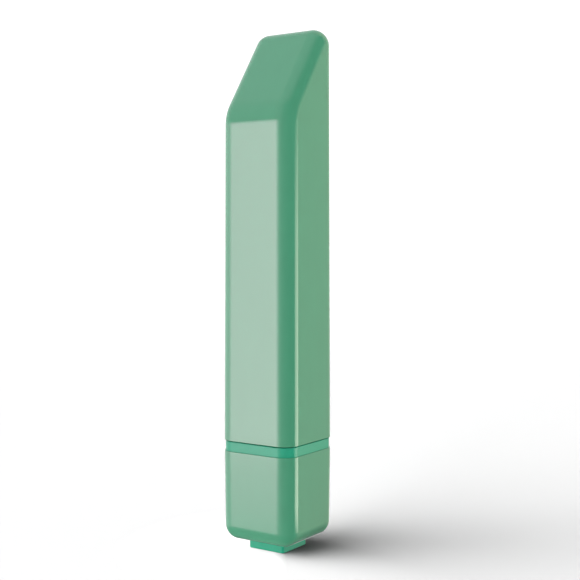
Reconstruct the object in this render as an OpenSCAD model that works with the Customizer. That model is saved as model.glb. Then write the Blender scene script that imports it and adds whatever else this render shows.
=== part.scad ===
// Slim hand-held massager: a square body with a slanted closed tip, a pull-off base and a push-button foot.
// Millimetres, +Z up, standing on its push-button. The origin is the middle of the button's underside.
// The front is -Y, the side that the slanted tip faces.

/* [Outline] */
// Width of the square body at its open mouth
body_w = 20.2; // [20:0.1:20.6]
// Radius of the long corner edges
corner_r = 3.7; // [3:0.05:3.8]
// How far each side of the body leans in from the mouth to the tip
body_draft = 0.25; // [0:0.01:0.3]
// Wall thickness of the body shell
body_wall = 1.8; // [1.8:0.05:2]
// Height of the front face, from the mouth to the slanted tip
front_h = 76.9; // [76.9:0.1:86]
// Slope of the slanted tip, from level
slant_deg = 55; // [50:0.5:58]
// Radius of the edges round the top of the tip
tip_r = 3.8; // [3:0.1:4]
// Radius of the broad edge between the front face and the slanted tip
front_r = 9.4; // [6:0.1:11]

/* [Base] */
// Height of the base cup
base_h = 21.3; // [21.3:0.1:22]
// Height of the coloured ring that shows between base and body
ring_h = 2.5; // [2.3:0.1:2.8]
// How far the ring stands back from the outer faces
ring_inset = 0.25; // [0.1:0.05:0.4]
// How far each side of the base leans in towards the bottom
base_draft = 0.15; // [0:0.01:0.2]
// Radius of the bottom edges of the base
base_r = 3.7; // [3.3:0.1:3.8]
// Wall thickness of the base cup
base_wall = 1.6; // [1.5:0.05:1.7]

/* [Push-button] */
// Width of the square push-button
button_w = 9.9; // [9:0.1:10]
// How far the push-button stands out of the base
button_h = 2.4; // [2:0.1:2.6]
// Corner radius of the push-button
button_r = 0.6; // [0.4:0.1:1]
// How far the push-button travels
button_travel = 0.5; // [0.3:0.05:0.6]

/* [Cell] */
// Diameter of the AAA cell over its jacket
cell_d = 10.3; // [9.8:0.1:10.5]
// Length of the cell with its positive cap
cell_l = 44.1; // [43.6:0.1:44.5]

/* [Motor] */
// Outer diameter of the motor can
motor_d = 11.6; // [11:0.1:11.6]
// Length of the motor can
motor_l = 18; // [17:0.1:18]
// Diameter of the motor shaft
shaft_d = 1.5; // [1.4:0.1:1.6]
// Radius of the eccentric weight
weight_r = 5.2; // [4:0.1:5.6]
// Length of the eccentric weight
weight_l = 5.6; // [4:0.1:6]

/* [Contact spring] */
// Wire diameter of the coil spring under the cell
spring_wire = 0.6; // [0.4:0.05:0.7]
// Turns of the coil spring
spring_turns = 5; // [4:0.5:6]

/* [Hidden] */
$fn = 48;
HULL_FN = 32;

// Spans: a span is [low, high]
function span(low, size) = [low, low + size];
function both(h) = [-h, h];
function grow(s, by) = [s[0] - by, s[1] + by];

// Clearances
CUT = 1;       // how far a cutter runs past the face it cuts
JOIN = 0.1;    // how far two shapes of one solid run into each other
SEAT = 0.05;   // gap beside a piece that rests in its seat
SLIDE = 0.1;   // gap beside a piece that slides in
RUN = 0.03;    // radial gap of the shaft in its bushes
PRESS = 0.01;  // radial gap of a piece that is fixed on the shaft

// Outline: outer shells and the bay inside the body
half = body_w / 2;
rim_h = 0.5;
base_z = span(button_h, base_h);
mouth_z = base_z[1] + ring_h;
front_edge_z = mouth_z + front_h;
tip_half = half - body_draft;
tip_wall = 2.2;
front_steps = 7;
bay_half = half - body_wall;
bay_r = 1.6;
bay_rise = 13;

// Base: cup floor, core and the spigot with its seal groove
floor_t = 2;
floor_z = base_z[0] + floor_t;
cup_half = half - base_wall;
cup_r = 1.7;
core_half = cup_half - SLIDE;
core_r = cup_r - SLIDE;
ring_gap = 0.2;
flange_z = [base_z[1], mouth_z - ring_gap];
spigot_gap = 0.15;
spigot_half = bay_half - spigot_gap;
spigot_r = bay_r - spigot_gap;
spigot_z = span(flange_z[1], 8);
groove_z = span(spigot_z[0] + 1.2, 2.4);
groove_half = spigot_half - 1;
groove_r = 0.6;
seal_band_in = 0.3;
seal_lip_h = 0.6;
seal_lip_in = 0.2;
notch_z = groove_z[1] + 0.6;
notch_half = 1.9;
slot_half = 1.5;
slot_y = [4, 6.45];

// Button, its guide and the switch above it
lip_z = span(floor_z + SEAT, 1.45);
lip_out = 0.75;
lip_r = 1;
guide_z = span(lip_z[1] + button_travel + 0.2, 3.2);
guide_bore_r = 3.5;
stem_r = 3.2;
stem_z = [lip_z[1], guide_z[1] + 0.4];
o_ring_cord_r = 0.5;
o_ring_r = guide_bore_r - SEAT - o_ring_cord_r;
o_ring_z = lip_z[1] + 2.1;
o_ring_groove_h = 1.2;
post_r = 1.5;
post_at = cup_half - 1.4;
guide_pilot_r = 0.6;
cover_z = span(stem_z[1] + button_travel + 0.6, 0.3);
cover_half = 3;
plunger_r = 1.6;
plunger_rise = 0.4;
collar_r = 2.2;
collar_z = span(cover_z[1] + 0.1, 0.8);
collar_gap = 0.15;
switch_h = 3.4;

// Circuit board over the switch
board_z = span(cover_z[1] + switch_h, 1);
board_half = cup_half - 0.5;
board_r = 1.2;
board_screw_at = 6;
board_hole_r = 0.8;
board_pilot_r = 0.65;
board_pilot_l = 5;

// Cell, and the spring below it
spring_z = span(board_z[1], 9);
spring_r = [3.7, 2.6];
spring_sides = 6;
spring_rings = 12;
cell_z = span(spring_z[1] + SLIDE, cell_l);
cap_r = 1.9;
cap_h = 0.75;
insulator_r = [2.2, 4.2];
insulator_t = 0.2;
jacket_t = 0.15;
jacket_in = 0.3;
can_r = cell_d / 2 - jacket_t;
can_top_z = cell_z[1] - cap_h - insulator_t;
bore_r = cell_d / 2 + 0.35;

// Contact strips between the base and the motor
strip_t = 0.3;
strip_half = 1.5;
strip_y = span(bay_half - 0.5, strip_t);
strip_low_z = notch_z + 0.8;
strip_slot_half = strip_half + 0.2;
plate_half = 5.8;
plate_z = span(cell_z[1] + SEAT, strip_t);

// Motor stack, above the cell
bulkhead_z = span(plate_z[1] + SEAT, 1.95);
window_half = [3.5, 2.5];
lead_bay_z = span(bulkhead_z[1], 3.9);
lead_bay_r = bore_r - 0.2;
bell_z = span(lead_bay_z[1] + SLIDE, 2.5);
bell_plug_h = 1.4;
motor_r = motor_d / 2;
can_z = span(bell_z[1], motor_l);
can_in_r = motor_r - 0.5;
can_front_t = 0.6;
shaft_r = shaft_d / 2;
bush_r = 1.55;
front_bush_z = [can_z[1] - 1.8, can_z[1] + 1];
rear_bush_z = [bell_z[0] + 0.8, bell_z[1] + 1.2];
commutator_z = span(can_z[0] + 1.9, 2.5);
commutator_r = 1.6;
commutator_slot = 0.2;
core_z = [can_z[0] + 5.5, can_z[1] - 3.5];
core_hub_r = 1.7;
armature_r = can_in_r - 1.3;
arm_half = 0.9;
shoe_t = 0.7;
shoe_deg = 96;
winding_x = [core_hub_r + SLIDE, armature_r - 1.3];
winding_half = sqrt(pow(armature_r - shoe_t - SLIDE, 2) - pow(winding_x[1], 2));
winding_rise = 0.8;
magnet_r = [armature_r + 0.35, can_in_r - SEAT];
magnet_deg = 110;
magnet_rise = 0.5;
weight_z = span(front_bush_z[1] + 1.2, weight_l);
weight_hub_r = 1.9;
shaft_z = [rear_bush_z[0] + JOIN, weight_z[1] + 0.2];
terminal_x = 3.4;
terminal_half = 0.8;
terminal_z = bell_z[0] - 2.2;
brush_half = 0.15;
brush_gap = 0.15;
brush_z = span(commutator_z[0] + 0.3, 1.5);
tab_z = span(bulkhead_z[1] + 1.2, strip_t);
tab_y = 4;

// Chassis that holds the cell and the motor
chassis_z = [spigot_z[1] + SEAT, can_z[1] + 1.5];
chassis_half = bay_half - SLIDE;
chassis_r = bay_r - SLIDE;
pocket_r = motor_r + 0.85;
pocket_lip_r = 4.5;
sleeve_in = 1;
chassis_screw_x = 6.55;
chassis_screw_z = [chassis_z[0] + 5, lead_bay_z[0] + 1.7];
chassis_head_y = -chassis_half + 1.5;
chassis_hole_l = 5;

// Screws: [head radius, head height, shank radius, shank length]
chassis_screw = [1.05, 0.9, 0.7, 11];
board_screw = [1.3, 0.8, 0.6, board_pilot_l + 0.5];
guide_screw = [1, 0.8, 0.55, guide_z[1] - floor_z - 0.3];

// Routes of the two leads, as Bezier control points
lead_r = 0.4;
lead_sides = 8;
lead_steps = 10;
lead_end_z = terminal_z + 0.9;
lead_end_x = terminal_x - strip_t / 2;
positive_route = [
    [1.2, 0, plate_z[1]], [1.2, 0, plate_z[1] + 2.5], [1.5, 0, lead_end_z], [lead_end_x, 0, lead_end_z]
];
return_route = [
    [0, 4.6, tab_z[1]], [0, 4.6, tab_z[1] + 1.4], [-1.6, 0, lead_end_z], [-lead_end_x, 0, lead_end_z]
];

// Colours
MINT = "#7fb99d";
GREEN = "#4fb493";
RUBBER = "#35383a";
TRAY = "#d9d9d2";
IVORY = "#e8e6df";
BLACK = "#1d1f21";
STEEL = "#b9bcc0";
DARK_STEEL = "#6f7276";
FERRITE = "#4b4d52";
BRASS = "#c9a553";
COPPER = "#b5683c";
RED = "#a8322b";
JACKET = "#2d5f52";
BOARD = "#2f6b45";
CERAMIC = "#b08d57";

// Basic shapes
module slab(x, y, z) translate([x[0], y[0], z[0]]) cube([x[1] - x[0], y[1] - y[0], z[1] - z[0]]);

module rod(r, z) translate([0, 0, z[0]]) cylinder(r = r, h = z[1] - z[0]);

module tube(r_in, r_out, z) difference() {
    rod(r_out, z);
    rod(r_in, grow(z, CUT));
}

module arc_block(r_in, r_out, degrees, z) rotate(-degrees / 2) translate([0, 0, z[0]])
    rotate_extrude(angle = degrees) translate([r_in, 0]) square([r_out - r_in, z[1] - z[0]]);

module rounded_block(h, r, z) translate([0, 0, z[0]]) linear_extrude(z[1] - z[0]) {
    square([2 * h, 2 * (h - r)], center = true);
    square([2 * (h - r), 2 * h], center = true);
    for (x = [-1, 1], y = [-1, 1]) translate([x * (h - r), y * (h - r)]) circle(r);
}

module ball(r) rotate_extrude($fn = HULL_FN) intersection() {
    circle(r, $fn = HULL_FN);
    translate([0, -r]) square([r, 2 * r]);
}

// Places
module at_corners(d) for (x = [-1, 1], y = [-1, 1]) translate([x * d, y * d, 0]) children();

module on_diagonal(d) for (s = [-1, 1]) translate([s * d, -s * d, 0]) children();

module front_and_rear() for (a = [0, 180]) rotate(a) children();

module at_each_third() for (a = [0:120:240]) rotate(a) children();

module at_chassis_screws() for (x = [-1, 1], z = chassis_screw_z)
    translate([x * chassis_screw_x, 0, z]) rotate([-90, 0, 0]) children();

// A screw along +Z: its head sits under z = 0, and its shank rises from there.
module screw(size) {
    recess_half = 0.12;
    recess_reach = 0.6 * size[0];
    difference() {
        rod(size[0], [-size[1], 0]);
        for (a = [0, 90]) rotate(a)
            slab(both(recess_reach), both(recess_half), [-size[1] - CUT, -size[1] / 2]);
    }
    rod(size[2], [-JOIN, size[3]]);
}

// Swept tubes
function unit(v) = v / norm(v);
function bezier(p, t) = pow(1 - t, 3) * p[0] + 3 * t * pow(1 - t, 2) * p[1]
    + 3 * t * t * (1 - t) * p[2] + pow(t, 3) * p[3];
function bezier_tangent(p, t) = unit(pow(1 - t, 2) * (p[1] - p[0]) + 2 * t * (1 - t) * (p[2] - p[1])
    + t * t * (p[3] - p[2]));
function tube_ring(p, tangent, across, r, sides) =
    let (u = unit(cross(tangent, across)), v = cross(tangent, u))
    [for (k = [0:sides - 1]) p + r * (cos(360 * k / sides) * u + sin(360 * k / sides) * v)];

module swept_tube(path, tangents, across, r, sides) {
    last = len(path) - 1;
    points = [for (i = [0:last]) each tube_ring(path[i], tangents[i], across, r, sides)];
    walls = [for (i = [0:last - 1], k = [0:sides - 1])
        let (a = i * sides + k, b = i * sides + (k + 1) % sides)
        each [[a, b, b + sides], [a, b + sides, a + sides]]];
    low_cap = [for (k = [1:sides - 2]) [0, k + 1, k]];
    high_cap = [for (k = [1:sides - 2]) [last * sides, last * sides + k, last * sides + k + 1]];
    polyhedron(points, concat(walls, low_cap, high_cap));
}

module lead(route, across) swept_tube(
    [for (i = [0:lead_steps]) bezier(route, i / lead_steps)],
    [for (i = [0:lead_steps]) bezier_tangent(route, i / lead_steps)],
    across, lead_r, lead_sides);

// Everything below the plane that lies depth under the tip's sloping face
module under_slant(depth) {
    reach = 8 * body_w;
    translate([0, -tip_half, front_edge_z]) rotate([slant_deg, 0, 0])
        slab(both(body_w), both(reach), [-reach - depth, -depth]);
}

// Height of the centre of a tip edge's rounding of radius r, at depth y
function tip_centre_z(y, r) = front_edge_z + ((y + tip_half) * sin(slant_deg) - r) / cos(slant_deg);

// The body's rounded edges, for a hull: the long corners at the mouth, the top of the tip and the broad front edge
module body_edges() {
    top_y = tip_half - tip_r;
    front_y = front_r - tip_half;
    at_corners(half - corner_r) rod(corner_r, span(mouth_z, rim_h), $fn = HULL_FN);
    for (x = [-1, 1]) {
        translate([x * top_y, top_y, tip_centre_z(top_y, tip_r)]) ball(tip_r);
        translate([x * (tip_half - corner_r), front_y, tip_centre_z(front_y, front_r)])
            for (i = [0:front_steps]) rotate([(slant_deg - 90) * i / front_steps, 0, 0])
                translate([0, corner_r - front_r, 0]) ball(corner_r);
    }
}

module body_shell() color(MINT) difference() {
    hull() body_edges();
    intersection() {
        rounded_block(bay_half, bay_r, [mouth_z - CUT, front_edge_z + bay_rise]);
        under_slant(tip_wall);
    }
}

// Both halves of the chassis in one: cell tube, bulkhead, lead bay and motor pocket
module chassis_block() difference() {
    rounded_block(chassis_half, chassis_r, chassis_z);
    rod(bore_r, [chassis_z[0] - CUT, bulkhead_z[0]]);
    slab(both(plate_half + SLIDE), both(plate_half + SLIDE), grow(plate_z, SEAT));
    slab(both(window_half[0]), both(window_half[1]), grow(bulkhead_z, CUT));
    rod(lead_bay_r, lead_bay_z);
    rod(pocket_r, [lead_bay_z[1], can_z[1] + SLIDE]);
    rod(pocket_lip_r, [can_z[1], chassis_z[1] + CUT]);
    strip_grooves();
    at_chassis_screws() {
        rod(chassis_screw[2] + SEAT, [-half, chassis_hole_l]);
        rod(chassis_screw[0] + SLIDE, [-half, chassis_head_y]);
    }
}

// Grooves for the two contact strips, and the slots where they turn in
module strip_grooves() {
    slab(both(strip_slot_half), [-half, -strip_y[0] + SEAT], [chassis_z[0] - CUT, bulkhead_z[0]]);
    slab(both(strip_slot_half), [-half, -plate_half], grow(plate_z, SEAT));
    slab(both(strip_slot_half), [strip_y[0] - SEAT, half], [chassis_z[0] - CUT, tab_z[1] + SLIDE]);
    slab(both(strip_slot_half), [tab_y, half], grow(tab_z, SLIDE));
}

module chassis_front() color(TRAY) intersection() {
    chassis_block();
    slab(both(half), [-half, -SEAT / 2], grow(chassis_z, CUT));
}

module chassis_rear() color(TRAY) intersection() {
    chassis_block();
    slab(both(half), [SEAT / 2, half], grow(chassis_z, CUT));
}

module chassis_screws() color(STEEL) at_chassis_screws()
    translate([0, 0, chassis_head_y]) screw(chassis_screw);

// Plate over the cell's cap, with the strip that brings it down the front to the base
module positive_contact() color(BRASS) {
    slab(both(plate_half), both(plate_half), plate_z);
    slab(both(strip_half), [-strip_y[1], -plate_half + JOIN], plate_z);
    slab(both(strip_half), [-strip_y[1], -strip_y[0]], [strip_low_z, plate_z[1]]);
}

module return_strip() color(BRASS) {
    slab(both(strip_half), strip_y, [strip_low_z, tab_z[1]]);
    slab(both(strip_half), [tab_y, strip_y[1]], tab_z);
}

module positive_lead() color(RED) lead(positive_route, [0, 1, 0]);

module return_lead() color(BLACK) lead(return_route, [1, -1, 0]);

module motor_sleeve() color(RUBBER) tube(motor_r + SEAT, pocket_r - SEAT, grow(can_z, -sleeve_in));

module motor_can() color(STEEL) difference() {
    rod(motor_r, can_z);
    rod(can_in_r, [can_z[0] - CUT, can_z[1] - can_front_t]);
    rod(bush_r + SEAT, [can_z[1] - CUT, can_z[1] + CUT]);
}

module motor_magnets() color(FERRITE) front_and_rear()
    arc_block(magnet_r[0], magnet_r[1], magnet_deg, grow(core_z, magnet_rise));

module motor_front_bush() color(BRASS) tube(shaft_r + RUN, bush_r, front_bush_z);

module motor_rear_bush() color(BRASS) tube(shaft_r + RUN, bush_r, rear_bush_z);

module motor_end_bell() color(IVORY) difference() {
    union() {
        rod(motor_r, bell_z);
        rod(can_in_r - SLIDE, [bell_z[1] - JOIN, bell_z[1] + bell_plug_h]);
    }
    rod(bush_r + SEAT, [rear_bush_z[0] - SEAT, rear_bush_z[1] + CUT]);
    for (s = [-1, 1]) translate([s * terminal_x, 0, 0])
        slab(both(strip_t / 2 + SEAT), both(terminal_half + SEAT), [bell_z[0] - CUT, rear_bush_z[1] + CUT]);
}

// Each terminal is one strip with the brush leaf that reaches in to the commutator.
module motor_brushes() color(COPPER) front_and_rear() {
    translate([terminal_x, 0, 0]) slab(both(strip_t / 2), both(terminal_half), [terminal_z, brush_z[1]]);
    slab([commutator_r + brush_gap, terminal_x], both(brush_half), brush_z);
}

module motor_shaft() color(STEEL) rod(shaft_r, shaft_z);

module eccentric_weight() color(DARK_STEEL) difference() {
    union() {
        arc_block(0, weight_r, 180, weight_z);
        rod(weight_hub_r, weight_z);
    }
    rod(shaft_r + PRESS, grow(weight_z, CUT));
}

module armature_core() color(DARK_STEEL) difference() {
    union() {
        rod(core_hub_r, core_z);
        at_each_third() {
            slab([0, armature_r - shoe_t / 2], both(arm_half), core_z);
            arc_block(armature_r - shoe_t, armature_r, shoe_deg, core_z);
        }
    }
    rod(shaft_r + PRESS, grow(core_z, CUT));
}

module armature_windings() color(COPPER) at_each_third() difference() {
    slab(winding_x, both(winding_half), grow(core_z, winding_rise));
    slab(grow(winding_x, CUT), both(arm_half + SEAT), grow(core_z, SEAT));
}

module commutator() color(COPPER) difference() {
    rod(commutator_r, commutator_z);
    rod(shaft_r + PRESS, grow(commutator_z, CUT));
    at_each_third() slab([-CUT - commutator_r, -shaft_r - commutator_slot], both(commutator_slot / 2),
        grow(commutator_z, CUT));
}

module cell_can() color(STEEL) rod(can_r - SEAT, [cell_z[0], can_top_z]);

module cell_jacket() color(JACKET) tube(can_r, cell_d / 2, grow([cell_z[0], can_top_z], -jacket_in));

module cell_insulator() color(BLACK) tube(insulator_r[0], insulator_r[1], span(can_top_z, insulator_t));

module cell_positive_cap() color(STEEL) rod(cap_r, [can_top_z, cell_z[1]]);

module base_cup() color(MINT) difference() {
    union() {
        difference() {
            hull() {
                at_corners(half - corner_r) rod(corner_r, [base_z[1] - rim_h, base_z[1]], $fn = HULL_FN);
                at_corners(half - base_draft - base_r) translate([0, 0, base_z[0] + base_r]) ball(base_r);
            }
            rounded_block(cup_half, cup_r, [floor_z, base_z[1] + CUT]);
        }
        at_corners(post_at) rod(post_r, [floor_z - JOIN, guide_z[0]]);
    }
    rounded_block(button_w / 2 + SLIDE, button_r + SLIDE, [0, floor_z + CUT]);
    on_diagonal(post_at) rod(guide_pilot_r, [floor_z, guide_z[0] + CUT]);
}

// Ring flange, the skirt that seats in the cup and the spigot that plugs into the body
module base_core() color(GREEN) difference() {
    union() {
        rounded_block(core_half, core_r, [board_z[1], base_z[1] + JOIN]);
        rounded_block(half - ring_inset, corner_r - ring_inset, flange_z);
        rounded_block(spigot_half, spigot_r, [spigot_z[0] - JOIN, spigot_z[1]]);
    }
    rod(bore_r, [0, spigot_z[1] + CUT]);
    difference() {
        rounded_block(half, corner_r, groove_z);
        rounded_block(groove_half, groove_r, grow(groove_z, CUT));
    }
    front_and_rear() {
        slab(both(slot_half), slot_y, [0, spigot_z[1] + CUT]);
        slab(both(notch_half), [slot_y[0], half], [notch_z, spigot_z[1] + CUT]);
    }
    on_diagonal(board_screw_at) rod(board_pilot_r, span(board_z[0], board_pilot_l + 2));
}

// Soft band in the spigot's groove, with two lips that grip the body
module seal_ring() color(RUBBER) difference() {
    band_z = grow(groove_z, -SLIDE);
    union() {
        rounded_block(spigot_half - seal_band_in, spigot_r - seal_band_in, band_z);
        for (z = [band_z[0] + seal_lip_in, band_z[1] - seal_lip_in - seal_lip_h])
            rounded_block(bay_half - SEAT, bay_r - SEAT, span(z, seal_lip_h));
    }
    rounded_block(groove_half + RUN, groove_r + RUN, grow(groove_z, CUT));
}

// Leaf that rises from the board and wipes the strip in the body, drawn for the rear
module contact_finger() color(BRASS) {
    finger_half = 1.25;
    foot_y = 4.9;
    leg_y = span(5.9, strip_t);
    pad_y = span(strip_y[0] - SEAT - strip_t, strip_t);
    pad_z = span(notch_z + 1.4, 1.6);
    foot_z = span(board_z[1], strip_t);
    rotate([90, 0, 90]) translate([0, 0, -finger_half]) linear_extrude(2 * finger_half) polygon([
        [foot_y, foot_z[0]], [leg_y[1], foot_z[0]], [leg_y[1], notch_z], [pad_y[1], pad_z[0]],
        [pad_y[1], pad_z[1]], [pad_y[0], pad_z[1]], [pad_y[0], pad_z[0] + JOIN], [leg_y[0], notch_z + JOIN],
        [leg_y[0], foot_z[1]], [foot_y, foot_z[1]]
    ]);
}

module contact_finger_front() rotate(180) contact_finger();

module contact_finger_rear() contact_finger();

// Tapering coil that presses on the flat end of the cell
spring_steps = spring_rings * spring_turns;
spring_half_turn = spring_rings / 2;
function spring_point(i) =
    let (t = i / spring_steps, r = spring_r[0] + t * (spring_r[1] - spring_r[0]), a = 360 * spring_turns * t,
        wire_z = grow(spring_z, -spring_wire / 2 - RUN))
    [r * cos(a), r * sin(a), wire_z[0] + t * (wire_z[1] - wire_z[0])];
spring_path = [for (i = [0:spring_steps]) spring_point(i)];
spring_tangents = [for (i = [0:spring_steps])
    unit(spring_path[min(i + 1, spring_steps)] - spring_path[max(i - 1, 0)])];
spring_gap = min([for (i = [0:spring_steps - spring_half_turn], j = [i + spring_half_turn:spring_steps])
    norm(spring_path[i] - spring_path[j])]) - spring_wire;
echo(battery_spring_least_gap = spring_gap);

module battery_spring() color(STEEL)
    swept_tube(spring_path, spring_tangents, [0, 0, 1], spring_wire / 2, spring_sides);

module switch_board() color(BOARD) difference() {
    rounded_block(board_half, board_r, board_z);
    on_diagonal(board_screw_at) rod(board_hole_r, grow(board_z, CUT));
}

module board_screws() color(STEEL) on_diagonal(board_screw_at)
    translate([0, 0, board_z[0]]) screw(board_screw);

module controller_chip() color(BLACK) {
    chip_y = [3.7, 6.5];
    chip_half = 2.4;
    chip_z = [board_z[0] - 1.4, board_z[0] - JOIN];
    pin_pitch = 1.27;
    pin_half = 0.2;
    pin_l = 0.4;
    pin_z = [board_z[0] - 0.7, board_z[0]];
    slab(both(chip_half), chip_y, chip_z);
    for (k = [-1.5:1.5]) translate([k * pin_pitch, 0, 0]) difference() {
        slab(both(pin_half), grow(chip_y, pin_l), pin_z);
        slab(both(chip_half), grow(chip_y, -JOIN), grow(pin_z, CUT));
    }
}

// One larger capacitor, and a small grid of resistors beside it
module board_passives() color(CERAMIC) {
    resistor = [1.2, 0.8, 0.6];
    slab([-2.3, 0.6], [-5.9, -4.6], [board_z[0] - 1, board_z[0]]);
    for (x = [1.6, 3.4], y = [-6, -4.4])
        slab(span(x, resistor[0]), span(y, resistor[1]), [board_z[0] - resistor[2], board_z[0]]);
}

module switch_body() color(BLACK) difference() {
    slab(both(cover_half - SEAT), both(cover_half - SEAT), [cover_z[1], board_z[0]]);
    rod(collar_r + collar_gap, [cover_z[1] - CUT, collar_z[1] + button_travel + 0.4]);
}

module switch_cover() color(STEEL) difference() {
    slab(both(cover_half), both(cover_half), cover_z);
    rod(plunger_r + SLIDE, grow(cover_z, CUT));
}

module switch_plunger() color(IVORY) {
    rod(plunger_r, [stem_z[1], cover_z[1] + plunger_rise]);
    rod(collar_r, collar_z);
}

module button_guide() color(TRAY) difference() {
    rounded_block(core_half, core_r, guide_z);
    rod(guide_bore_r, grow(guide_z, CUT));
    on_diagonal(post_at) rod(guide_pilot_r, grow(guide_z, CUT));
}

module guide_screws() color(STEEL) on_diagonal(post_at) translate([0, 0, guide_z[1]]) rotate([180, 0, 0])
    screw(guide_screw);

module button_o_ring() color(RUBBER) translate([0, 0, o_ring_z]) rotate_extrude()
    translate([o_ring_r, 0]) circle(o_ring_cord_r);

module push_button() color(GREEN) difference() {
    union() {
        rounded_block(button_w / 2, button_r, [0, lip_z[0] + JOIN]);
        rounded_block(button_w / 2 + lip_out, lip_r, lip_z);
        rod(stem_r, [lip_z[1] - JOIN, stem_z[1]]);
    }
    tube(o_ring_r - o_ring_cord_r - SEAT, stem_r + CUT, grow([o_ring_z, o_ring_z], o_ring_groove_h / 2));
}

body_shell();
chassis_front();
chassis_rear();
chassis_screws();
positive_contact();
return_strip();
positive_lead();
return_lead();
motor_sleeve();
motor_can();
motor_magnets();
motor_front_bush();
motor_rear_bush();
motor_end_bell();
motor_brushes();
motor_shaft();
eccentric_weight();
armature_core();
armature_windings();
commutator();
cell_can();
cell_jacket();
cell_insulator();
cell_positive_cap();
base_cup();
base_core();
seal_ring();
contact_finger_front();
contact_finger_rear();
battery_spring();
switch_board();
board_screws();
controller_chip();
board_passives();
switch_body();
switch_cover();
switch_plunger();
button_guide();
guide_screws();
button_o_ring();
push_button();
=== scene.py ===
"""Looks of a slim hand-held massager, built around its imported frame.

The frame gives the places and most of the sizes. Each sub-assembly is a class that builds its meshes and
dresses them, and the studio at the end sets the floor, the light and the camera. The classes work in
millimetres, and a mesh is scaled to metres when it is finished.
"""

import logging
import math
from collections.abc import Callable, Mapping, Sequence
from dataclasses import dataclass
from enum import Enum
from typing import Union

import bmesh
import bpy
from mathutils import Matrix, Vector


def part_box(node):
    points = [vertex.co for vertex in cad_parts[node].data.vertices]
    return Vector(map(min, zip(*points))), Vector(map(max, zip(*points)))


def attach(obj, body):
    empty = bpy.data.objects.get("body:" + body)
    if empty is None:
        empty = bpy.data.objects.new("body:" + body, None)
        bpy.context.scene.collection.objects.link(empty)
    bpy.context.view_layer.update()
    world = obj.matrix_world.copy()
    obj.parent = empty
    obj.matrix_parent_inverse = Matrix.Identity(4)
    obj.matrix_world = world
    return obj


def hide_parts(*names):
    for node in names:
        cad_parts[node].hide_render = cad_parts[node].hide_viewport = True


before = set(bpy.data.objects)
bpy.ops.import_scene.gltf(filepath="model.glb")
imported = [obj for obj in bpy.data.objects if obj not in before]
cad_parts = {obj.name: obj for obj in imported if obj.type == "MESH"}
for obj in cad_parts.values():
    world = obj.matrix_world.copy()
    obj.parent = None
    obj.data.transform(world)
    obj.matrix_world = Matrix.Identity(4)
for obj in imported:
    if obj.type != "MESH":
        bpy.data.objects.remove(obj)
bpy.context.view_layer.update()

MM = 0.001
log = logging.getLogger("massager")

Color = tuple[float, float, float]
Levels = Sequence[tuple[float, float]]
Ring = list[Vector]
Value = Union["Sock", float, str, Sequence[float]]

BLACK, WHITE = (0.0, 0.0, 0.0, 1.0), (1.0, 1.0, 1.0, 1.0)
# The numbers of a Mix node's colour sockets; their names aren't unique.
MIX_FIRST, MIX_SECOND, MIX_OUT = 6, 7, 2


def opaque(color: Color, level: float = 1.0) -> list[float]:
    """A colour at a level, with nothing showing through."""
    return [part * level for part in color] + [1.0]


class Sock:
    """One output socket, whose arithmetic adds Math nodes to its graph."""

    def __init__(self, graph: "Graph", socket: bpy.types.NodeSocket | None) -> None:
        """Keeps the socket with the graph that it belongs to."""
        self.graph = graph
        self.socket = socket

    def math(self, operation: str, *values: Value) -> "Sock":
        """Adds one Math node on the given values."""
        return self.graph.node("ShaderNodeMath", {"operation": operation}, dict(enumerate(values)))

    def __add__(self, other: Value) -> "Sock":
        """Adds a value."""
        return self.math("ADD", self, other)

    __radd__ = __add__

    def __sub__(self, other: Value) -> "Sock":
        """Takes a value away."""
        return self.math("SUBTRACT", self, other)

    def __rsub__(self, other: Value) -> "Sock":
        """Is taken away from a value."""
        return self.math("SUBTRACT", other, self)

    def __mul__(self, other: Value) -> "Sock":
        """Multiplies by a value."""
        return self.math("MULTIPLY", self, other)

    __rmul__ = __mul__


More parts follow.
